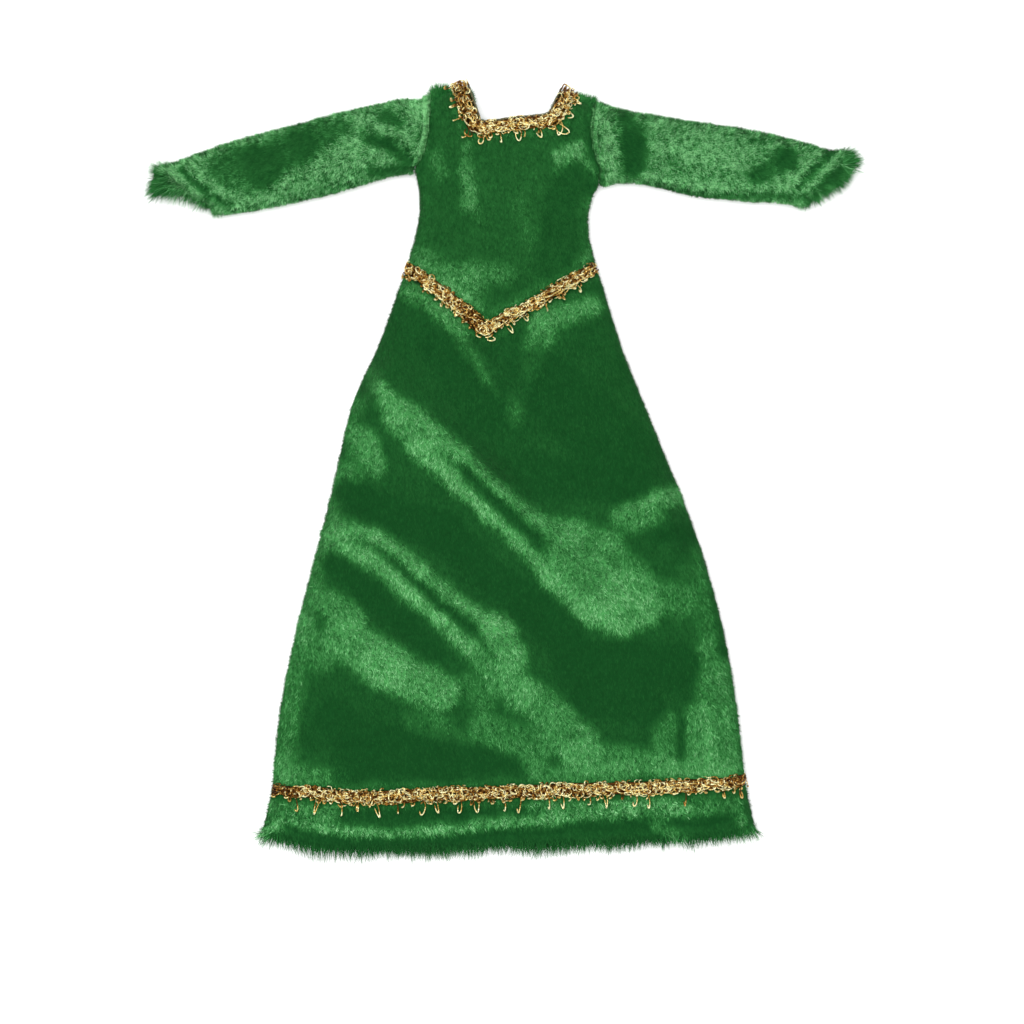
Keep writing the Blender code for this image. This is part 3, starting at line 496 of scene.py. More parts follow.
BRAIDS = (
    Braid(
        "braid_neck",
        table(
            LinePoint,
            (-7.3, 59.8, 3.2, 0.2), (-6.25, 57.0, 3.0, 0.2), (-5.15, 54.3, 2.7, 0.2),
            (-4.7, 53.1, 2.6, 0.4), (-3.6, 52.75, 2.4, 0.25), (-2.0, 52.85, 2.2, 0.05),
            (2.0, 53.4, 2.2, 0.0), (6.6, 53.9, 2.2, 0.05), (7.95, 54.55, 2.4, 0.15),
            (9.0, 56.15, 2.7, 0.0), (10.6, 58.95, 3.2, 0.1),
        ),
        table(
            Picot,
            (-8.4, 55.9, 0.15, 0.2, 0.0), (-7.9, 53.9, 0.15, 0.0, 0.1), (-6.4, 51.2, 0.2, 0.2, 0.2),
            (-3.7, 50.3, 0.3, -0.3, 0.0), (-2.2, 50.9, 0.3, 0.2, 0.3), (-0.4, 50.5, 0.3, 0.3, 0.1),
            (2.3, 50.8, 0.6, -0.2, 0.0), (3.2, 51.4, 0.25, 0.2, 0.3), (5.7, 51.3, 0.45, 0.3, 0.05),
            (8.6, 51.7, 0.4, -0.5, 0.0), (9.9, 51.9, 0.4, 0.3, 0.0), (10.7, 54.5, 0.5, 0.1, 0.0),
            (11.9, 56.5, 0.2, 0.0, 0.0),
        ),
        1,
    ),
    Braid(
        "braid_waist",
        table(
            LinePoint,
            (-15.3, 31.0, 2.3, 0.45), (-14.0, 30.5, 2.3, 0.3), (-11.7, 28.95, 2.3, 0.1),
            (-9.15, 27.0, 2.3, 0.1), (-6.6, 25.0, 2.3, 0.2), (-4.5, 23.2, 2.3, 0.6),
            (-3.3, 21.9, 2.3, 0.35), (-2.7, 21.5, 2.5, 0.05), (-2.1, 21.9, 2.3, 0.0),
            (-0.1, 23.3, 2.1, 0.0), (2.7, 24.6, 2.0, 0.0), (7.9, 27.7, 2.0, 0.1),
            (13.0, 30.6, 2.0, 0.25), (14.4, 31.35, 2.0, 0.4),
        ),
        table(
            Picot,
            (-16.2, 29.7, 0.35, 0.2, 0.2), (-12.6, 27.4, 0.2, 0.2, 0.4), (-9.8, 25.2, 0.2, 0.1, 0.0),
            (-7.6, 23.6, 0.25, 0.3, 0.1), (-5.4, 21.8, 0.25, 0.2, 0.5), (-1.6, 19.9, 0.15, 0.0, 0.0),
            (1.4, 21.1, 0.45, 0.4, 0.0), (3.7, 23.0, 0.25, 0.3, 0.0), (6.8, 24.5, 0.2, 0.1, 0.1),
            (9.4, 26.2, 0.2, 0.2, 0.3), (11.9, 27.4, 0.15, 0.0, 0.0),
        ),
        0,
    ),
    Braid(
        "braid_hem",
        table(
            LinePoint,
            (-35.8, -49.5, 1.8, 1.0), (-33.2, -49.8, 1.8, 0.9), (-31.8, -49.9, 2.1, 0.2),
            (-29.6, -49.9, 2.4, 0.1), (-25.0, -50.6, 2.3, 0.1), (-17.5, -50.6, 2.3, 0.05),
            (-10.0, -50.25, 2.3, 0.1), (0.0, -50.0, 2.3, 0.15), (10.0, -49.5, 2.3, 0.0),
            (20.0, -49.3, 2.3, 0.05), (30.0, -48.8, 2.2, 0.15), (35.0, -48.5, 2.1, 0.4),
            (37.5, -48.0, 2.0, 0.9),
        ),
        table(
            Picot,
            (-32.0, -52.8, 0.25, 0.2, 0.4), (-29.4, -53.3, 0.3, -0.3, 0.1), (-25.1, -53.5, 0.4, 0.4, 0.1),
            (-22.7, -52.9, 0.25, 0.0, 0.2), (-19.3, -53.8, 0.35, 0.6, 0.0), (-16.5, -53.2, 0.3, 0.2, 0.5),
            (-12.7, -53.4, 0.6, -0.2, 0.1), (-10.1, -53.1, 0.3, 0.3, 0.1), (-6.9, -53.1, 0.35, -0.2, 0.1),
            (-4.1, -53.0, 0.45, 0.0, 0.0), (0.2, -52.8, 0.3, 0.3, 0.1), (2.2, -53.1, 0.35, -0.3, 0.1),
            (6.9, -52.5, 0.3, 0.2, 0.0), (9.2, -52.4, 0.35, 0.2, 0.1), (13.2, -51.8, 0.3, 0.0, 0.2),
            (15.9, -52.3, 0.25, 0.2, 0.0), (20.2, -52.0, 0.35, -0.2, 0.1), (22.4, -52.4, 0.3, 0.3, 0.1),
            (28.0, -52.0, 0.25, 0.0, 0.5), (34.0, -50.8, 0.15, 0.0, 0.1), (36.8, -50.8, 0.15, 0.0, 0.2),
        ),
        0,
    ),
)
TANGLES = (
    Tangle(1.0, 0.0, 0.0, 0.85, 0.0004),
    Tangle(1.4, 2.1, -0.4, 0.5, 0.0006),
    Tangle(0.85, 4.0, 0.4, 0.5, 0.00055),
)
LINE_STEPS = 400  # points in which a braid's or seam's line is held
EVENED = 31  # of them, those over which its height is evened out
FROM_ABOVE = 30 * MM  # where the search for the cloth's height starts
NO_CLOTH = 4 * MM  # the height where none is found
CORE_LANES = (-0.55, -0.15, 0.25, 0.65)  # where the strands of a braid's core lie across it
CORE_TONE = 0.95  # how brown they are, as painted shade deep among the wires
CORE_THICK = 2.2  # the core's strands against the wire
STRAYS = 2.9  # stray curls of wire in a square millimetre of braid
WIDEST_LOOP = 1.1 * MM  # half the width that the body's loops reach over at most
LOOP_LONG = 0.6 * MM  # how far an average one reaches along it
LOOP_STEPS = 12  # points of wire in each of them
GLINT = 0.45  # painted highlight on one side of a loop and painted shade on the other: how much browner that side is, halved
STRAY_STEPS = 8  # points of wire in a stray curl
PICOT_STEPS = 17  # and in a picot
PICOT_ROOT = 0.7  # how far across the picots spring from the braid, against its half width
EDGE_CORD = 0.00018  # radius of the woven edge
EDGE_TONE = 2.3  # past the browns, at the end of the ramp

TUFT = 0.7 * MM  # one tuft of the raw pile to the next
LIVELY_BELOW = -50.0  # below the hem's braid the pile is curlier
LIVELY_MORE = 0.38  # by this much
FIRM_HALF = 0.9  # strokes with a smaller half width keep straighter
BESIDE_BRAID = 1.6  # the pile is brushed up, with painted sheen, at this distance from a braid's middle
LOWEST = 0.01 * MM  # no blade of pile goes below this height
RESTS_BELOW = 0.02 * MM  # what is lower lies on the surface
COVER = 7 * MM  # cloth nearer than this over a spot covers it
SEAM_ROLL = 0.00034  # radius of a seam's ridge

# How fine the materials' noises are
VELVET_FLECKS = 2600.0
VELVET_GRAIN = 3200.0
WIRE_PATCHES = 1900.0
WIRE_GLINTS = 4200.0
WIRE_WEAR = 2100.0
WIRE_LAPS = 6000.0
SURFACE_MOTTLE = 14.0

# Each random pattern has a seed of its own. Those with two patterns take the next number as well
SEED_STRAY_X = 11
SEED_STRAY_Y = 13
SEED_NAP = 15
SEED_LIFT = 21
SEED_CURL = 31
SEED_STREAK = 32
SEED_FINE_RAGS = 33
SEED_WAVE = 34
SEED_BROAD_RAGS = 35
SEED_TUFT = 41

# What the camera sees, in metres, and the height where the picture's scale holds
VIEW_CENTRE = (0.00124, -0.00659)
VIEW_FIELD = 0.1587
VIEW_HEIGHT = 0.0015

# The soft light and the surface
KEY_PLACE = (-0.14, 0.14, 0.95)
KEY_SIZE = (1.0, 0.8)
SURFACE_SIZE = 6.0
SURFACE_DROP = 0.00002  # the surface lies this far below the gown, so that they don't flicker


def length(name, description, default):
    """A length that the panel shows, in metres."""
    return FloatProperty(name=name, description=description, default=default, unit="LENGTH", precision=6)


def colour(name, description, default):
    """A colour that the panel shows."""
    return FloatVectorProperty(
        name=name, description=description, default=default, subtype="COLOR", size=3, min=0, max=1,
    )


class GownCloth(bpy.types.PropertyGroup):
    """The velvet and its pile."""

    drawn_in: length("Drawn in", "How far the backing lies inside the tips of the pile", 0.0002)
    pile_length: length("Pile length", "Length of one blade of the pile", 0.00078)
    blade_width: length("Blade width", "Width of one blade at its root", 0.00016)
    seed: IntProperty(name="Seed", description="Start of the pile's random draws", default=7)
    # Dark is painted shade where the pile lies down, light is painted sheen where it is brushed up, and the
    # glint a painted highlight on single blades
    dark: colour("Dark", "Colour where the pile lies down", (0.0025, 0.055, 0.0085))
    middle: colour(
        "Middle", "Colour of the pile between the dark and the light stretches",
        (0.02, 0.148, 0.029),
    )
    light: colour("Light", "Colour where the pile is brushed up", (0.088, 0.37, 0.105))
    glossy: colour("Glossy", "Colour of the single blades that catch the light", (0.3, 0.7, 0.31))


class GownBraid(bpy.types.PropertyGroup):
    """The metallic braid."""

    wire: length("Wire", "Radius of the metallic wire", 0.000115)
    loop_pitch: length("Loop pitch", "One loop of the body to the next", 0.0008)
    picot_pitch: length("Picot pitch", "One small loop between the picots to the next", 0.0013)
    picot_reach: length("Picot reach", "How far such a small loop stands out of the body", 0.0006)
    # Bright is a painted glint; amber and brown are painted shade deeper in the braid and on its core
    bright: colour("Bright", "Colour of the wire where it glints", (1.0, 0.95, 0.56))
    gold: colour("Gold", "Colour of most of the wire", (0.88, 0.67, 0.21))
    amber: colour("Amber", "Colour of the wire deeper in", (0.42, 0.19, 0.03))
    brown: colour("Brown", "Colour of the core and of worn wire", (0.085, 0.032, 0.006))
    # Olive is the colour of the dark cord along the neck opening
    olive: colour("Olive", "Colour of the woven edge", (0.11, 0.1, 0.055))


class GownStage(bpy.types.PropertyGroup):
    """The surface, the light and the camera."""

    surface: colour("Surface", "Colour of the surface under the gown", (0.9, 0.9, 0.9))
    glow: FloatProperty(name="Glow", description="Light that the surface gives off itself", default=0.18)
    key: FloatProperty(
        name="Key light", description="Power of the large soft light", default=10.5, unit="POWER",
    )
    fill: FloatProperty(name="Fill", description="Strength of the light from all round", default=0.7)
    lens: FloatProperty(name="Lens", description="Focal length in millimetres", default=190.0)


def choose(piece):
    """Makes a piece the only selected and the active one."""
    bpy.ops.object.select_all(action="DESELECT")
    piece.select_set(True)
    bpy.context.view_layer.objects.active = piece


def ease(share):
    """A smooth step from 0 to 1, for numbers or arrays."""
    share = np.clip(share, 0.0, 1.0)
    return share * share * (3 - 2 * share)


def smooth(knots, at):
    """A smooth curve through (position, value) knots, whose positions rise, read at one position."""
    if at <= knots[0][0]:
        return knots[0][1]
    if at >= knots[-1][0]:
        return knots[-1][1]
    step = next(k for k in range(len(knots) - 1) if at <= knots[k + 1][0])
    (a, low), (b, high) = knots[step], knots[step + 1]

    def slope(k):
        before, after = knots[max(k - 1, 0)], knots[min(k + 1, len(knots) - 1)]
        return (after[1] - before[1]) / (after[0] - before[0])

    run = b - a
    t = (at - a) / run
    bend = (t**3 - 2 * t**2 + t) * slope(step) + (t**3 - t**2) * slope(step + 1)
    return (2 * t**3 - 3 * t**2 + 1) * low + (3 * t**2 - 2 * t**3) * high + run * bend


def speckle(cell_x, cell_y, seed):
    """A number from 0 to 1 for each whole-numbered cell, the same every time."""
    mixed = (cell_x.astype(np.int64) * 374761393 + cell_y.astype(np.int64) * 668265263 + seed * 974711)
    mixed = mixed & 0xFFFFFFFF
    mixed = ((mixed ^ (mixed >> 13)) * 1274126177) & 0xFFFFFFFF
    return (mixed ^ (mixed >> 16)) / 4294967296.0


def cloudy(x, y, size, seed):
    """Smooth random patches of about one size, from 0 to 1."""
    cell_x, cell_y = np.floor(x / size), np.floor(y / size)
    across, up = ease(x / size - cell_x), ease(y / size - cell_y)
    low = speckle(cell_x, cell_y, seed) * (1 - across) + speckle(cell_x + 1, cell_y, seed) * across
    high = speckle(cell_x, cell_y + 1, seed) * (1 - across) + speckle(cell_x + 1, cell_y + 1, seed) * across
    return low * (1 - up) + high * up


def from_line(x, y, x0, y0, x1, y1):
    """Distance from a straight line, and the share along it of the nearest point."""
    run_x, run_y = x1 - x0, y1 - y0
    long = run_x * run_x + run_y * run_y
    along = np.clip(((x - x0) * run_x + (y - y0) * run_y) / long, 0.0, 1.0)
    return np.hypot(x - x0 - along * run_x, y - y0 - along * run_y), along


def from_points(x, y, points):
    """Distance from a line through several points."""
    lines = zip(points, points[1:])
    return np.min([from_line(x, y, a.x, a.y, b.x, b.y)[0] for a, b in lines], axis=0)


def creased(x, y):
    """How far the fine creases lift the cloth."""
    lift = np.zeros_like(x)
    for crease in CREASES:
        distance, _ = from_line(x, y, crease.x0, crease.y0, crease.x1, crease.y1)
        lift += crease.height * (1 - ease(distance / crease.half_width))
    return lift


def raw_edge(x, y):
    """Distance from the nearest raw edge, the way its pile points, how far the backing stops short of it
    and how long its pile is."""
    nearest = np.full_like(x, np.inf)
    found = np.zeros((4, len(x)))
    for edge in RAW_EDGES:
        for before, after in zip(edge, edge[1:]):
            distance, along = from_line(x, y, before.x, before.y, after.x, after.y)
            there = [start + (end - start) * along for start, end in zip(before[2:], after[2:])]
            found = np.where(distance < nearest, there, found)
            nearest = np.minimum(distance, nearest)
    out = found[:2].T / np.hypot(found[0], found[1])[:, None]
    return nearest, out, found[2], found[3]


def strayed(x, y, fine, fine_size, seed):
    """How far the edge of a stroke strays at each point, broadly and finely."""
    broad = 0.8 * (cloudy(x, y, 3.4, seed) - 0.5)
    return broad + fine * (cloudy(x, y, fine_size, seed + 1) - 0.5)


def brushed(x, y, node):
    """How light the pile is brushed at each point, from 0 to 1: painted sheen and painted shade."""
    away_x = strayed(x, y, 0.4, 0.7, SEED_STRAY_X)
    away_y = strayed(x, y, 0.5, 0.6, SEED_STRAY_Y)
    base, brushes = NAPS_AND_SHEENS[node.split("_")[0]]
    nap = base + 0.08 * cloudy(x, y, 3.2, SEED_NAP)
    for brush in brushes:
        loose = min(max(brush.from_half, brush.to_half) / FIRM_HALF, 1.0)
        ends = (brush.x0, brush.y0, brush.x1, brush.y1)
        distance, along = from_line(x + loose * away_x, y + loose * away_y, *ends)
        half = brush.from_half + (brush.to_half - brush.from_half) * along
        soft = np.minimum(half, 1.0)
        cover = 1 - ease((distance - half + soft) / (2 * soft))
        nap += (float(brush.light > 0) - nap) * cover * abs(brush.light)
    nap *= 0.96
    # Painted sheen on the pile just beside each braid
    for braid in BRAIDS:
        beside = np.abs(from_points(x + away_x, y + away_y, braid.points) - BESIDE_BRAID)
        nap += (1 - nap) * 0.22 * (1 - ease(beside / 0.8))
    return nap


class Socket:
    """A socket of a material that takes part in sums."""

    def __init__(self, finish, socket):
        self.finish = finish
        self.socket = socket

    def sum(self, operation, first, second):
        return self.finish.node("ShaderNodeMath", {"operation": operation}, {0: first, 1: second})

    def __add__(self, other):
        return self.sum("ADD", self, other)

    def __sub__(self, other):
        return self.sum("SUBTRACT", self, other)

    def __mul__(self, other):
        return self.sum("MULTIPLY", self, other)


class Finish:
    """A material that is built up node by node."""

    def __init__(self, name):
        self.material = bpy.data.materials.new(name)
        self.material.use_nodes = True
        self.tree = self.material.node_tree
        self.tree.nodes.clear()

    def node(self, kind, settings=None, values=None, output=0):
        """Adds a node, sets it up, fills or links its sockets and gives one output."""
        made = self.tree.nodes.new(kind)
        for name, setting in (settings or {}).items():
            if name == "stops":
                self.set_stops(made.color_ramp, setting)
            else:
                setattr(made, name, setting)
        for name, value in (values or {}).items():
            if isinstance(value, Socket):
                self.tree.links.new(value.socket, made.inputs[name])
            else:
                made.inputs[name].default_value = value
        return Socket(self, made.outputs[output])

    def set_stops(self, ramp, stops):
        while len(ramp.elements) < len(stops):
            ramp.elements.new(1.0)
        for element, (place, colour) in zip(ramp.elements, stops):
            element.position = place
            element.color = (*colour, 1.0)

    def attribute(self, name):
        return self.node("ShaderNodeAttribute", {"attribute_name": name}, output="Fac")

    def place(self):
        return self.node("ShaderNodeTexCoord", output="Object")

    def noise(self, scale, detail=2.0, roughness=0.5):
        values = {"Vector": self.place(), "Scale": scale, "Detail": detail, "Roughness": roughness}
        return self.node("ShaderNodeTexNoise", {"noise_dimensions": "3D"}, values, "Fac")

    def ramp(self, amount, stops):
        return self.node("ShaderNodeValToRGB", {"stops": stops}, {"Fac": amount}, "Color")

    def bump(self, height, distance, strength):
        values = {"Height": height, "Distance": distance, "Strength": strength}
        return self.node("ShaderNodeBump", {}, values, "Normal")

    def close(self, values):
        """Ends the material in one Principled shader."""
        shader = self.node("ShaderNodeBsdfPrincipled", {}, values, "BSDF")
        made = self.tree.nodes.new("ShaderNodeOutputMaterial")
        self.tree.links.new(shader.socket, made.inputs["Surface"])
        return self.material


def velvet_finish(settings, name, grain_depth):
    """Pile velvet: dark painted shade where it lies down, light painted sheen and flecks where it is
    brushed up.
    """
    finish = Finish(name)
    nap = finish.attribute("nap")
    fleck = finish.noise(VELVET_FLECKS, 3.0, 0.6) - 0.5
    shade = nap * 0.7 + fleck * (nap * 0.25 + 0.06)
    stops = (
        (0.0, tuple(settings.dark)),
        (0.32, tuple(settings.middle)),
        (0.7, tuple(settings.light)),
        (1.0, tuple(settings.glossy)),
    )
    grain = finish.noise(VELVET_GRAIN, 3.0, 0.65)
    return finish.close({
        "Base Color": finish.ramp(shade, stops),
        "Roughness": 0.86,
        "Specular IOR Level": 0.1,
        "Sheen Weight": 0.14,
        "Sheen Roughness": 0.5,
        "Sheen Tint": (0.4, 0.85, 0.42, 1.0),
        "Normal": finish.bump(grain, grain_depth, 0.8),
    })


def wire_finish(settings):
    """Metallic thread: painted glints on gold, and amber and brown as painted shade deeper in, spread in
    random patches.
    """
    finish = Finish("gold_wire")
    tone = finish.attribute("brown")
    patch = finish.noise(WIRE_PATCHES, 2.0) - 0.5
    glint = finish.noise(WIRE_GLINTS, 1.0) - 0.5
    shade = (tone + patch * 1.1 + glint * 1.4) * 0.6
    stops = (
        (0.0, tuple(settings.bright)),
        (0.13, tuple(settings.gold)),
        (0.32, tuple(settings.amber)),
        (0.54, tuple(settings.brown)),
        (0.85, tuple(settings.brown)),
        (1.0, tuple(settings.olive)),
    )
    lap = finish.noise(WIRE_LAPS, 2.0)
    return finish.close({
        "Base Color": finish.ramp(shade, stops),
        "Metallic": 0.92,
        "Roughness": finish.noise(WIRE_WEAR, 2.0) * 0.3 + 0.15,
        "Normal": finish.bump(lap, 0.00016, 0.9),
    })


def surface_finish(settings):
    """A matt white surface with the faintest mottle."""
    finish = Finish("white_surface")
    mottle = finish.noise(SURFACE_MOTTLE, 3.0)
    white = tuple(settings.surface)
    dimmer = tuple(0.992 * part for part in white)
    return finish.close({
        "Base Color": finish.ramp(mottle, ((0.3, dimmer), (0.7, white))),
        "Roughness": 0.9,
        "Specular IOR Level": 0.1,
        "Emission Color": (1.0, 1.0, 1.0, 1.0),
        "Emission Strength": settings.glow,
    })


def numbers(collection, field, width, kind=np.float64):
    """A field of a mesh's vertices, faces or the like, as an array with a row for each."""
    found = np.empty(len(collection) * width, dtype=kind)
    collection.foreach_get(field, found)
    return found.reshape(-1, width) if width > 1 else found


def set_places(mesh, places):
    mesh.vertices.foreach_set("co", places.astype(np.float32).ravel())
    mesh.update()


def add_field(mesh, name, values):
    field = mesh.attributes.new(name, "FLOAT", "POINT")
    field.data.foreach_set("value", values.astype(np.float32))


def set_in_place(piece, finish):
    """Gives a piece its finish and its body."""
    piece.data.materials.clear()
    piece.data.materials.append(finish)
    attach(piece, "root")


def make_shell(cloth, finish, settings):
    """The backing of one piece of velvet: its solid, drawn in, subdivided, creased and smoothed."""
    piece = bpy.data.objects.new("velvet_" + cloth.node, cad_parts[cloth.node].data.copy())
    bpy.context.scene.collection.objects.link(piece)
    choose(piece)
    bpy.ops.object.mode_set(mode="EDIT")
    bpy.ops.mesh.select_all(action="SELECT")
    bpy.ops.mesh.remove_doubles(threshold=0.000002)
    bpy.ops.mesh.tris_convert_to_quads(face_threshold=math.pi, shape_threshold=math.pi)
    bpy.ops.object.mode_set(mode="OBJECT")
    divided = piece.modifiers.new("Finer", "SUBSURF")
    divided.levels = divided.render_levels = cloth.levels
    bpy.ops.object.modifier_apply(modifier=divided.name)
    bpy.ops.object.shade_smooth()
    draw_in(piece.data, settings)
    x, y = numbers(piece.data.vertices, "co", 3)[:, :2].T / MM
    add_field(piece.data, "nap", brushed(x, y, cloth.node))
    set_in_place(piece, finish)
    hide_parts(cloth.node)
    return piece


def draw_in(mesh, settings):
    """Draws the cloth in from the tips of its pile, further at raw edges, and lays the fine creases."""
    places = numbers(mesh.vertices, "co", 3)
    normals = numbers(mesh.vertex_normals, "vector", 3)
    x, y = places[:, 0] / MM, places[:, 1] / MM
    resting = places[:, 2] < RESTS_BELOW
    sewn = 1 - ease((np.min([from_points(x, y, seam.points) for seam in SEAMS], axis=0) - 0.5) / 1.6)
    inward = settings.drawn_in * (1 - sewn) - 0.2 * MM * sewn
    moved = places - normals * inward[:, None] * np.array((1.0, 1.0, 0.6))
    distance, out, short, _ = raw_edge(x, y)
    pull = short * MM * (1 - ease(distance / 2.6))
    moved[:, :2] -= out * pull[:, None]
    above = ease(normals[:, 2] * 2)
    moved[:, 2] += above * MM * (creased(x, y) + 0.16 * (cloudy(x, y, 2.4, SEED_LIFT) - 0.5))
    moved[resting, 2] = 0.0
    set_places(mesh, moved)


def make_seam(seam, cloth, finish):
    """The ridge of a seam: the edges of both pieces, turned up and sewn into a roll."""
    skein = Skein(cloth)
    line = ThreadLine(seam.points)
    line.lay_on(skein)
    at = np.arange(0.0, line.length, 0.0003)
    x, y = line.place(at, 0.0)
    middle = np.stack((x, y, line.read(at, line.over) - 0.0002), axis=1)
    skein.wind(middle, SEAM_ROLL, line.read(at, line.tone), 8)
    piece = skein.piece(seam.name, "nap")
    set_in_place(piece, finish)
    return piece


def outer_triangles(piece, air):
    """Corners, corner normals and corner naps of the triangles that other cloth doesn't cover."""
    mesh = piece.data
    mesh.calc_loop_triangles()
    corners = numbers(mesh.loop_triangles, "vertices", 3, np.int32)
    places = numbers(mesh.vertices, "co", 3)
    normals = numbers(mesh.vertex_normals, "vector", 3)
    facing = numbers(mesh.loop_triangles, "normal", 3)
    middles = places[corners].mean(axis=1)
    shown = []
    for k in np.flatnonzero(facing[:, 2] > -0.6):
        way = Vector(facing[k] + 0.3 * UP).normalized()
        start = Vector(middles[k]) + way * 0.00004
        if air.ray_cast(start, way, COVER)[0] is None:
            shown.append(k)
    corners = corners[shown]
    nap = numbers(mesh.attributes["nap"].data, "value", 1)
    return places[corners], normals[corners], nap[corners]


class Pile:
    """The blades of pile of one piece. Its methods are called, and draw at random, in this order."""

    def __init__(self, name, kind, settings, node):
        self.kind = kind
        self.settings = settings
        self.node = node
        self.count = kind.blades
        self.draw = np.random.default_rng(settings.seed + len(name) * 101 + ord(name[-1]))
        self.lay = np.array(kind.lay) / math.hypot(*kind.lay)

    def take_root(self, piece, air):
        """Scatters the roots evenly over what shows, and reads what the cloth is like at each."""
        places, normals, naps_and_sheens = outer_triangles(piece, air)
        areas = np.linalg.norm(np.cross(places[:, 1] - places[:, 0], places[:, 2] - places[:, 0]), axis=1)
        pick = self.draw.choice(len(areas), size=self.count, p=areas / areas.sum())
        share = self.draw.dirichlet((1.0, 1.0, 1.0), self.count)
        self.root = (places[pick] * share[:, :, None]).sum(axis=1)
        normal = (normals[pick] * share[:, :, None]).sum(axis=1)
        self.normal = normal / np.linalg.norm(normal, axis=1)[:, None]
        self.x, self.y = self.root[:, 0] / MM, self.root[:, 1] / MM
        self.nap = (naps_and_sheens[pick] * share).sum(axis=1)
        if self.node:
            self.nap = brushed(self.x, self.y, self.node)
        distance, self.out, short, self.edge_long = raw_edge(self.x, self.y)
        self.at_edge = 1 - ease((distance - short - 0.3) / 1.2)
        self.rim = ease((0.75 - self.normal[:, 2]) / 0.5)
        curl = self.kind.curl + LIVELY_MORE * ease((LIVELY_BELOW - self.y) / 1.5)
        self.lively = curl * (0.04 + 0.5 * ease(self.nap / 0.6))
        self.stray = self.draw.uniform(size=self.count) < 0.04 + 0.2 * self.lively

    def lean_over(self):
        """Lays each blade along the pile or out over a raw edge, and turns it by a curl of its own."""
        turn = self.draw.normal(0.0, 1.0, self.count) * (0.25 + 0.6 * self.lively + 0.3 * self.rim)
        turn += (cloudy(self.x, self.y, 0.5, SEED_CURL) - 0.5) * (0.4 + 3.6 * self.lively)
        turn *= 1 - 0.5 * self.at_edge
        lean = self.lay * (1 - self.at_edge)[:, None] + self.out * self.at_edge[:, None]
        cos, sin = np.cos(turn), np.sin(turn)
        turned_x = lean[:, 0] * cos - lean[:, 1] * sin
        turned_y = lean[:, 0] * sin + lean[:, 1] * cos
        lean = np.stack((turned_x, turned_y, np.zeros(self.count)), axis=1)
        lean -= self.normal * (lean * self.normal).sum(axis=1)[:, None]
        self.lean = lean / np.maximum(np.linalg.norm(lean, axis=1), 1e-6)[:, None]

    def grow(self):
        """Gives each blade its rise and length, and draws the tips of a tuft together."""
        rise = 0.3 + 0.45 * self.nap + 0.55 * self.rim * (1 - self.at_edge) + 0.15 * self.stray
        rise += self.draw.normal(0.0, 1.0, self.count) * (0.1 + 0.2 * self.nap + 0.25 * self.rim)
        long = self.kind.long * self.settings.pile_length * (1 - 0.3 * self.rim) * (1 - self.at_edge)
        long += self.edge_long * MM * self.at_edge
        spread = 0.22 + 0.4 * self.at_edge
        long *= self.draw.uniform(0.88 - spread, 0.88 + spread) * (1 + 0.35 * self.stray)
        fine_rags = 0.5 * cloudy(self.x, self.y, 0.8, SEED_FINE_RAGS)
        broad_rags = 0.5 * cloudy(self.x, self.y, 1.9, SEED_BROAD_RAGS)
        long *= 1 + (0.5 + self.kind.ragged * self.at_edge) * (fine_rags + broad_rags - 0.5)
        up, along = self.normal * np.sin(rise)[:, None], self.lean * np.cos(rise)[:, None]
        self.tip = self.root + long[:, None] * (up + along)
        cell = np.floor(self.root[:, :2] / TUFT)
        middle = [cell[:, k] + 0.2 + 0.6 * speckle(cell[:, 0], cell[:, 1], SEED_TUFT + k) for k in (0, 1)]
        gather = (0.1 * self.lively + 0.15 * self.rim + 0.2 * self.at_edge)[:, None]
        self.tip[:, :2] += gather * (np.stack(middle, axis=1) * TUFT - self.root[:, :2])

    def corners(self):
        """Two corners at the root of each blade and one at its tip, none of them below the surface."""
        wide = self.settings.blade_width * self.draw.uniform(0.7, 1.3, self.count)
        wide = wide * (1 - 0.35 * self.stray) * (1 - 0.22 * self.at_edge)
        side = np.cross(self.normal, self.lean) * (0.5 * wide)[:, None]
        corners = np.stack((self.root - side, self.root + side, self.tip), axis=1).reshape(-1, 3)
        corners[:, 2] = np.maximum(corners[:, 2], LOWEST)
        return corners

    def shades(self):
        """How light each corner is: streaks along the lie, single flecks, and tips lighter than roots, as
        painted shade at the roots.
        """
        x, y, nap, lively = self.x, self.y, self.nap, self.lively
        across = x * self.lay[1] - y * self.lay[0] + 0.5 * cloudy(x, y, 1.1, SEED_WAVE)
        along = 0.5 * (x * self.lay[0] + y * self.lay[1])
        streak = cloudy(across, along, 0.2, SEED_STREAK) - 0.5
        fleck = self.draw.normal(0.0, 1.0, self.count) * (0.03 + 0.46 * lively)
        fleck += streak * (0.1 + 1.7 * lively)
        # Painted light through the fringe at raw edges
        fleck += 0.22 * self.at_edge * self.draw.uniform(-0.3, 1.0, self.count)
        # Painted highlights on stray blades, painted sheen on the rims
        fleck += 0.4 * self.stray * (0.15 + nap) + 0.12 * self.rim * (1 - nap)
        tip_nap_and_sheen = brushed(self.tip[:, 0] / MM, self.tip[:, 1] / MM, self.node) if self.node else nap
        shades = np.stack((nap, nap, tip_nap_and_sheen), axis=1) + fleck[:, None]
        # Painted shade at the roots, lighter tips, most of all at raw edges
        shades += np.array((-1.0, -1.0, 1.0)) * (0.04 + 0.16 * nap + 0.42 * self.at_edge)[:, None]
        return shades.ravel()


def stand_blades(name, kind, piece, air, finish, settings, node=""):
    """Blades of pile on what shows of a piece, curled and gathered into tufts where the cloth is lively."""
    blades = Pile(name, kind, settings, node)
    blades.take_root(piece, air)
    blades.lean_over()
    blades.grow()
    pile = blade_mesh("pile_" + name, blades.corners())
    add_field(pile.data, "nap", blades.shades())
    set_in_place(pile, finish)
    return pile


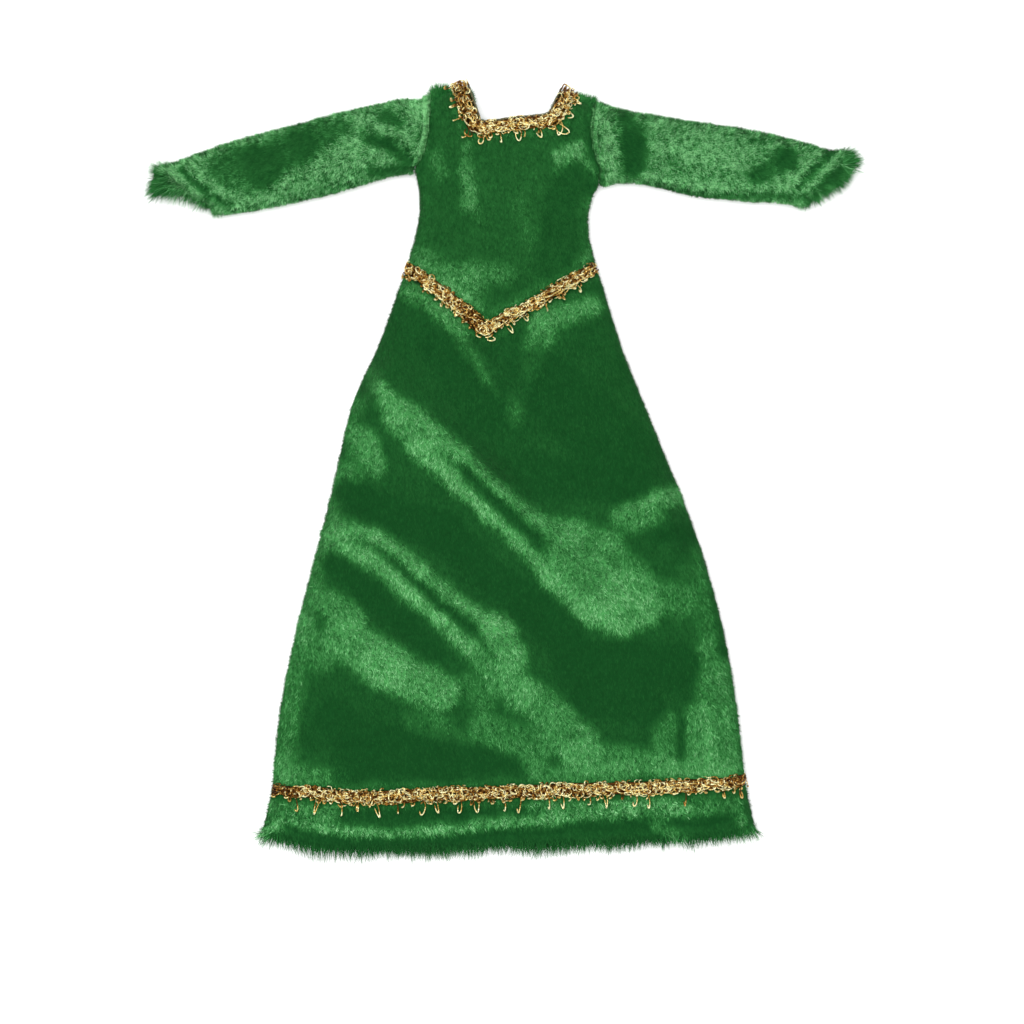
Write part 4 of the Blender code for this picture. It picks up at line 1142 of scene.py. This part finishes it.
def blade_mesh(name, corners):
    """A piece made of loose triangles, three corners to each."""
    count = len(corners)
    mesh = bpy.data.meshes.new(name)
    mesh.vertices.add(count)
    mesh.vertices.foreach_set("co", corners.astype(np.float32).ravel())
    mesh.loops.add(count)
    mesh.loops.foreach_set("vertex_index", np.arange(count, dtype=np.int32))
    mesh.polygons.add(count // 3)
    mesh.polygons.foreach_set("loop_start", np.arange(0, count, 3, dtype=np.int32))
    mesh.update(calc_edges=True)
    piece = bpy.data.objects.new(name, mesh)
    bpy.context.scene.collection.objects.link(piece)
    return piece


def joined_tree(pieces):
    """A search tree over the faces of several pieces."""
    places, faces, base = [], [], 0
    for piece in pieces:
        mesh = piece.data
        mesh.calc_loop_triangles()
        places.append(numbers(mesh.vertices, "co", 3))
        faces.append(numbers(mesh.loop_triangles, "vertices", 3, np.int32) + base)
        base += len(mesh.vertices)
    return BVHTree.FromPolygons(np.concatenate(places).tolist(), np.concatenate(faces).tolist())


class Skein:
    """Wires or rolls that are gathered into one mesh, each point with its tone."""

    def __init__(self, cloth):
        self.cloth = cloth
        self.places = []
        self.faces = []
        self.tones = []
        self.count = 0

    def height(self, x, y):
        """Height of the cloth at points seen from above, in metres."""
        found = []
        for place_x, place_y in zip(x, y):
            hit = self.cloth.ray_cast(Vector((place_x, place_y, FROM_ABOVE)), Vector((0, 0, -1)))[0]
            found.append(hit.z if hit else (found[-1] if found else NO_CLOTH))
        return np.array(found)

    def wind(self, path, radius, tone, sides=4):
        """Adds a wire along a path of points, closed at both ends."""
        along = np.gradient(path, axis=0)
        along /= np.linalg.norm(along, axis=1)[:, None]
        side = np.cross(along, UP)
        side /= np.maximum(np.linalg.norm(side, axis=1), 1e-9)[:, None]
        over = np.cross(side, along)
        turns = 2 * np.pi * np.arange(sides) / sides
        ring = side[:, None] * np.cos(turns)[None, :, None] + over[:, None] * np.sin(turns)[None, :, None]
        radii = np.broadcast_to(radius, len(path)).copy()
        radii[[0, -1]] *= 0.3
        places = path[:, None] + ring * radii[:, None, None]
        first = self.count
        count = len(path)
        for k in range(count - 1):
            near, far = first + k * sides, first + (k + 1) * sides
            for s in range(sides):
                t = (s + 1) % sides
                self.faces.append((near + s, far + s, far + t, near + t))
        self.faces.append(tuple(first + s for s in range(sides)))
        self.faces.append(tuple(first + (count - 1) * sides + s for s in reversed(range(sides))))
        self.places.append(places.reshape(-1, 3))
        self.tones.append(np.repeat(np.broadcast_to(tone, count), sides))
        self.count += count * sides

    def piece(self, name, field):
        mesh = bpy.data.meshes.new(name)
        mesh.from_pydata(np.concatenate(self.places).tolist(), [], self.faces)
        mesh.shade_smooth()
        add_field(mesh, field, np.concatenate(self.tones))
        made = bpy.data.objects.new(name, mesh)
        bpy.context.scene.collection.objects.link(made)
        return made


class ThreadLine:
    """The middle line of a braid or a seam, read at any distance along it, in metres."""

    def __init__(self, points):
        long = [0.0]
        for before, after in zip(points, points[1:]):
            long.append(long[-1] + math.hypot(after.x - before.x, after.y - before.y))
        self.length = long[-1] * MM
        steps = np.linspace(0.0, long[-1], LINE_STEPS)
        rows = []
        for k in range(4):
            knots = [(d, point[k]) for d, point in zip(long, points)]
            rows.append([smooth(knots, at) for at in steps])
        self.steps = steps * MM
        self.x, self.y, self.width = (np.array(row) * MM for row in rows[:3])
        self.tone = np.array(rows[3])
        run_x, run_y = np.gradient(self.x), np.gradient(self.y)
        run = np.hypot(run_x, run_y)
        self.side_x, self.side_y = -run_y / run, run_x / run
        self.over = np.zeros_like(self.x)

    def lay_on(self, skein):
        """Lays the braid on the highest cloth under it, so that it bridges a seam."""
        lanes = [skein.height(*self.place(self.steps, across)) for across in (-1.0, -0.5, 0.0, 0.5, 1.0)]
        highest = np.max(lanes, axis=0)
        spread = np.hanning(EVENED)
        ends = np.pad(highest, EVENED // 2, mode="edge")
        self.over = np.convolve(ends, spread / spread.sum(), mode="valid")

    def read(self, at, values):
        return np.interp(at, self.steps, values)

    def place(self, at, across):
        """Points at distances along and across, where 1 is the inner edge and -1 the picots' edge."""
        off = across * self.read(at, self.width) / 2
        x = self.read(at, self.x) + self.read(at, self.side_x) * off
        y = self.read(at, self.y) + self.read(at, self.side_y) * off
        return x, y


def wind_braid(braid, cloth, finish, settings):
    """One braid: a brown core, tangled loops of bright wire over it and picots along one edge."""
    draw = np.random.default_rng(sum(ord(letter) for letter in braid.node))
    skein = Skein(cloth)
    line = ThreadLine(braid.points)
    line.lay_on(skein)
    lay_core(skein, line, settings.wire)
    for tangle in TANGLES:
        loop_wire(skein, line, settings, tangle, draw)
    curl_strays(skein, line, settings, draw)
    pick_loops(skein, line, braid.picots, settings, draw)
    if braid.edging:
        edge_cord(skein, line, braid.edging, draw)
    piece = skein.piece("wire_" + braid.node, "brown")
    set_in_place(piece, finish)
    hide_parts(braid.node)
    return piece


def lay_core(skein, line, wire):
    """Thick dull strands that lie on the cloth under the bright wire, brown as painted shade deep in the
    braid.
    """
    at = np.arange(0.0, line.length, 0.0004)
    for lane in CORE_LANES:
        x, y = line.place(at, lane)
        path = np.stack((x, y, line.read(at, line.over) + 0.0002), axis=1)
        skein.wind(path, CORE_THICK * wire, CORE_TONE)


def uneven(draw, turns, low, high):
    """Random values that change smoothly from one loop to the next."""
    knots = draw.uniform(low, high, turns + 2)
    return np.interp(np.arange(turns * LOOP_STEPS) / LOOP_STEPS, np.arange(turns + 2), knots)


def loop_wire(skein, line, settings, tangle, draw):
    """A wire that runs along the braid in overlapping loops, uneven in size, place and tone."""
    pitch = settings.loop_pitch * tangle.pitch
    turns = int(line.length / pitch)
    place = np.arange(turns * LOOP_STEPS) / LOOP_STEPS
    phase = 2 * np.pi * (place + uneven(draw, turns, -0.16, 0.16)) + tangle.start
    long = LOOP_LONG * uneven(draw, turns, 0.2, 1.6)
    half = line.read(np.minimum(place * pitch, line.length), line.width) / 2
    reach = tangle.reach * uneven(draw, turns, 0.2, 1.1) * np.minimum(1.0, WIDEST_LOOP / half)
    lane = tangle.lane + uneven(draw, turns, -0.4, 0.4)
    at = np.clip(place * pitch + long * np.cos(phase), 0.0, line.length)
    across = np.clip(lane + reach * np.sin(phase), -1.12, 1.08)
    x, y = line.place(at, across)
    tumble = 0.00022 * np.sin(phase * 1.5 + tangle.start) + uneven(draw, turns, -0.00012, 0.0003)
    z = line.read(at, line.over) + tangle.height + tumble - 0.00018 * across**2
    own = np.repeat(draw.uniform(-0.1, 0.5, turns), LOOP_STEPS)
    # Each loop gets a painted glint on its lit side and painted shade on the other
    lit_side = np.repeat(draw.uniform(0.0, 2 * np.pi, turns), LOOP_STEPS)
    tone = 0.8 * line.read(at, line.tone) + own + GLINT * np.cos(phase - lit_side)
    skein.wind(np.stack((x, y, z), axis=1), settings.wire, tone)


def curl_strays(skein, line, settings, draw):
    """Stray curls of wire that lie every way over the braid and break up its rows."""
    area = line.width.mean() * line.length
    for _ in range(round(STRAYS * area / MM**2)):
        middle = draw.choice(line.steps, p=line.width / line.width.sum())
        size = draw.uniform(0.00015, 0.0005)
        turn = draw.uniform(0.0, 2 * np.pi) + np.linspace(0.0, draw.uniform(1.5, 5.0), STRAY_STEPS)
        at = np.clip(middle + size * draw.uniform(0.6, 1.8) * np.cos(turn), 0.0, line.length)
        half = line.read(middle, line.width) / 2
        across = np.clip(draw.uniform(-0.95, 0.95) + size / half * np.sin(turn), -1.2, 1.12)
        x, y = line.place(at, across)
        z = line.read(at, line.over) + draw.uniform(0.0004, 0.00085) - 0.0002 * across**2
        z += 0.0001 * np.sin(1.7 * turn)
        tone = 0.7 * line.read(at, line.tone) + draw.uniform(-0.15, 0.5)
        # Painted glint on one side of the curl, painted shade on the other
        tone += GLINT * np.cos(turn - draw.uniform(0.0, 2 * np.pi))
        skein.wind(np.stack((x, y, z), axis=1), settings.wire * draw.uniform(0.6, 1.0), tone, 3)


def pick_loops(skein, line, picots, settings, draw):
    """The picots, each where it hangs, and small loops of the same wire all along the edge."""
    for picot in picots:
        away = np.hypot(line.x - picot.x * MM, line.y - picot.y * MM)
        nearest = np.argmin(away)
        stop = draw.uniform(3.5, 5.6)
        size = (away[nearest], 0.8 * picot.half * MM, picot.lean * MM)
        hang_loop(skein, line, line.steps[nearest], size, stop, picot.tone, settings.wire, draw)
    for middle in np.arange(0.5 * settings.picot_pitch, line.length, settings.picot_pitch):
        half = line.read(middle, line.width) / 2
        depth = half + settings.picot_reach * draw.uniform(-0.2, 1.0)
        size = (depth, draw.uniform(0.0001, 0.0003), draw.uniform(-0.0003, 0.0003))
        place = middle + draw.uniform(-0.4, 0.4) * settings.picot_pitch
        stop, tone = draw.uniform(3.6, 6.2), draw.uniform(0.0, 0.6)
        hang_loop(skein, line, place, size, stop, tone, settings.wire, draw)


def hang_loop(skein, line, middle, size, stop, tone, wire, draw):
    """One picot: a loop of wire of one depth, half width and lean, with painted shade in brown near the
    body and a painted glint at its tip."""
    depth, wide, lean = size
    turn = np.linspace(0.0, stop, PICOT_STEPS)
    out = 0.5 * (1 - np.cos(turn))
    wobble = 0.00006 * np.sin(2.0 * turn + draw.uniform(0.0, 6.0))
    at = np.clip(middle + wide * np.sin(turn) - lean * (1 - out) + wobble, 0.0, line.length)
    half = line.read(at, line.width) / 2
    x, y = line.place(at, -PICOT_ROOT - (depth / half - PICOT_ROOT) * out)
    near = line.read(at, line.over)
    z = np.maximum(skein.height(x, y), near - 0.001) + 0.00075 + 0.0003 * out * draw.uniform(0.0, 1.6)
    # Painted shade near the body, painted glint toward the tip
    shade = 0.4 * line.read(at, line.tone) + tone - 0.22 + 1.0 * (1 - out)
    skein.wind(np.stack((x, y, z), axis=1), wire * (0.45 + 0.7 * out), shade)


def edge_cord(skein, line, edging, draw):
    """A dark cord along the neck opening."""
    at = np.arange(0.0004, line.length - 0.0004, 0.0003)
    x, y = line.place(at, edging * 0.98 + draw.normal(0, 0.015, len(at)))
    z = line.read(at, line.over) + 0.00012
    skein.wind(np.stack((x, y, z), axis=1), EDGE_CORD, EDGE_TONE, sides=6)


class GOWN_OT_cloth(bpy.types.Operator):
    """Make the velvet backing of the skirt, the bodice and the sleeves"""

    bl_idname = "gown.cloth"
    bl_label = "Velvet"

    def execute(self, context):
        settings = context.scene.gown_cloth
        finish = velvet_finish(settings, "velvet_backing", 0.00022)
        for cloth in CLOTHS:
            make_shell(cloth, finish, settings)
        return {"FINISHED"}


class GOWN_OT_pile(bpy.types.Operator):
    """Stand the pile in the velvet"""

    bl_idname = "gown.pile"
    bl_label = "Pile"

    def execute(self, context):
        settings = context.scene.gown_cloth
        finish = velvet_finish(settings, "velvet_pile", 0.00006)
        shells = {cloth.node: bpy.data.objects["velvet_" + cloth.node] for cloth in CLOTHS}
        sewn = joined_tree(shells.values())
        rolls = [make_seam(seam, sewn, finish) for seam in SEAMS]
        air = joined_tree([*shells.values(), *rolls])
        for seam, roll in zip(SEAMS, rolls):
            stand_blades(seam.name, seam, roll, air, finish, settings)
        for cloth in CLOTHS:
            pile = stand_blades(cloth.node, cloth, shells[cloth.node], air, finish, settings, cloth.node)
        return {"FINISHED"}


class GOWN_OT_braids(bpy.types.Operator):
    """Wind the gold braids of the neck, the waist and the hem"""

    bl_idname = "gown.braids"
    bl_label = "Braids"

    def execute(self, context):
        settings = context.scene.gown_braid
        finish = wire_finish(settings)
        shells = [bpy.data.objects["velvet_" + cloth.node] for cloth in CLOTHS]
        cloth = joined_tree(shells)
        for braid in BRAIDS:
            wind_braid(braid, cloth, finish, settings)
        return {"FINISHED"}


class GOWN_OT_stage(bpy.types.Operator):
    """Lay a white surface, and set the soft light and the camera"""

    bl_idname = "gown.stage"
    bl_label = "Surface, light and camera"

    def execute(self, context):
        settings = context.scene.gown_stage
        scene = context.scene
        bpy.ops.object.select_all(action="DESELECT")
        bpy.ops.mesh.primitive_plane_add(size=SURFACE_SIZE, location=(0.0, 0.0, -SURFACE_DROP))
        surface = context.active_object
        surface.name = "surface"
        surface.data.materials.append(surface_finish(settings))

        key_data = bpy.data.lights.new("key", "AREA")
        key_data.shape = "RECTANGLE"
        key_data.size, key_data.size_y = KEY_SIZE
        key_data.energy = settings.key
        key = bpy.data.objects.new("key", key_data)
        key.location = KEY_PLACE
        key.rotation_euler = (-Vector(key.location)).to_track_quat("-Z", "Y").to_euler()
        scene.collection.objects.link(key)

        world = bpy.data.worlds.new("room")
        scene.world = world
        world.use_nodes = True
        sky = world.node_tree.nodes["Background"]
        sky.inputs["Color"].default_value = (1.0, 1.0, 1.0, 1.0)
        sky.inputs["Strength"].default_value = settings.fill

        camera_data = bpy.data.cameras.new("camera")
        camera_data.lens = settings.lens
        camera_data.sensor_width = 36.0
        camera = bpy.data.objects.new("camera", camera_data)
        away = VIEW_FIELD * settings.lens / camera_data.sensor_width
        camera.location = (*VIEW_CENTRE, away + VIEW_HEIGHT)
        scene.collection.objects.link(camera)
        scene.camera = camera
        scene.view_settings.view_transform = "Standard"
        return {"FINISHED"}


class GOWN_PT_panel(bpy.types.Panel):
    """The gown's pieces and sizes"""

    bl_idname = "GOWN_PT_panel"
    bl_label = "Velvet gown"
    bl_space_type = "VIEW_3D"
    bl_region_type = "UI"
    bl_category = "Gown"

    def draw(self, context):
        groups = (
            (context.scene.gown_cloth, ("gown.cloth", "gown.pile")),
            (context.scene.gown_braid, ("gown.braids",)),
            (context.scene.gown_stage, ("gown.stage",)),
        )
        for settings, operators in groups:
            box = self.layout.box()
            for name in type(settings).__annotations__:
                box.prop(settings, name)
            for operator in operators:
                box.operator(operator)


SETTINGS = (("gown_cloth", GownCloth), ("gown_braid", GownBraid), ("gown_stage", GownStage))
OPERATORS = (GOWN_OT_cloth, GOWN_OT_pile, GOWN_OT_braids, GOWN_OT_stage)


def register():
    for name, group in SETTINGS:
        bpy.utils.register_class(group)
        setattr(bpy.types.Scene, name, PointerProperty(type=group))
    for kind in (*OPERATORS, GOWN_PT_panel):
        bpy.utils.register_class(kind)


def unregister():
    for kind in (GOWN_PT_panel, *reversed(OPERATORS)):
        bpy.utils.unregister_class(kind)
    for name, group in reversed(SETTINGS):
        delattr(bpy.types.Scene, name)
        bpy.utils.unregister_class(group)


def main():
    register()
    bpy.ops.gown.cloth()
    bpy.ops.gown.pile()
    bpy.ops.gown.braids()
    bpy.ops.gown.stage()


if __name__ == "__main__":
    main()
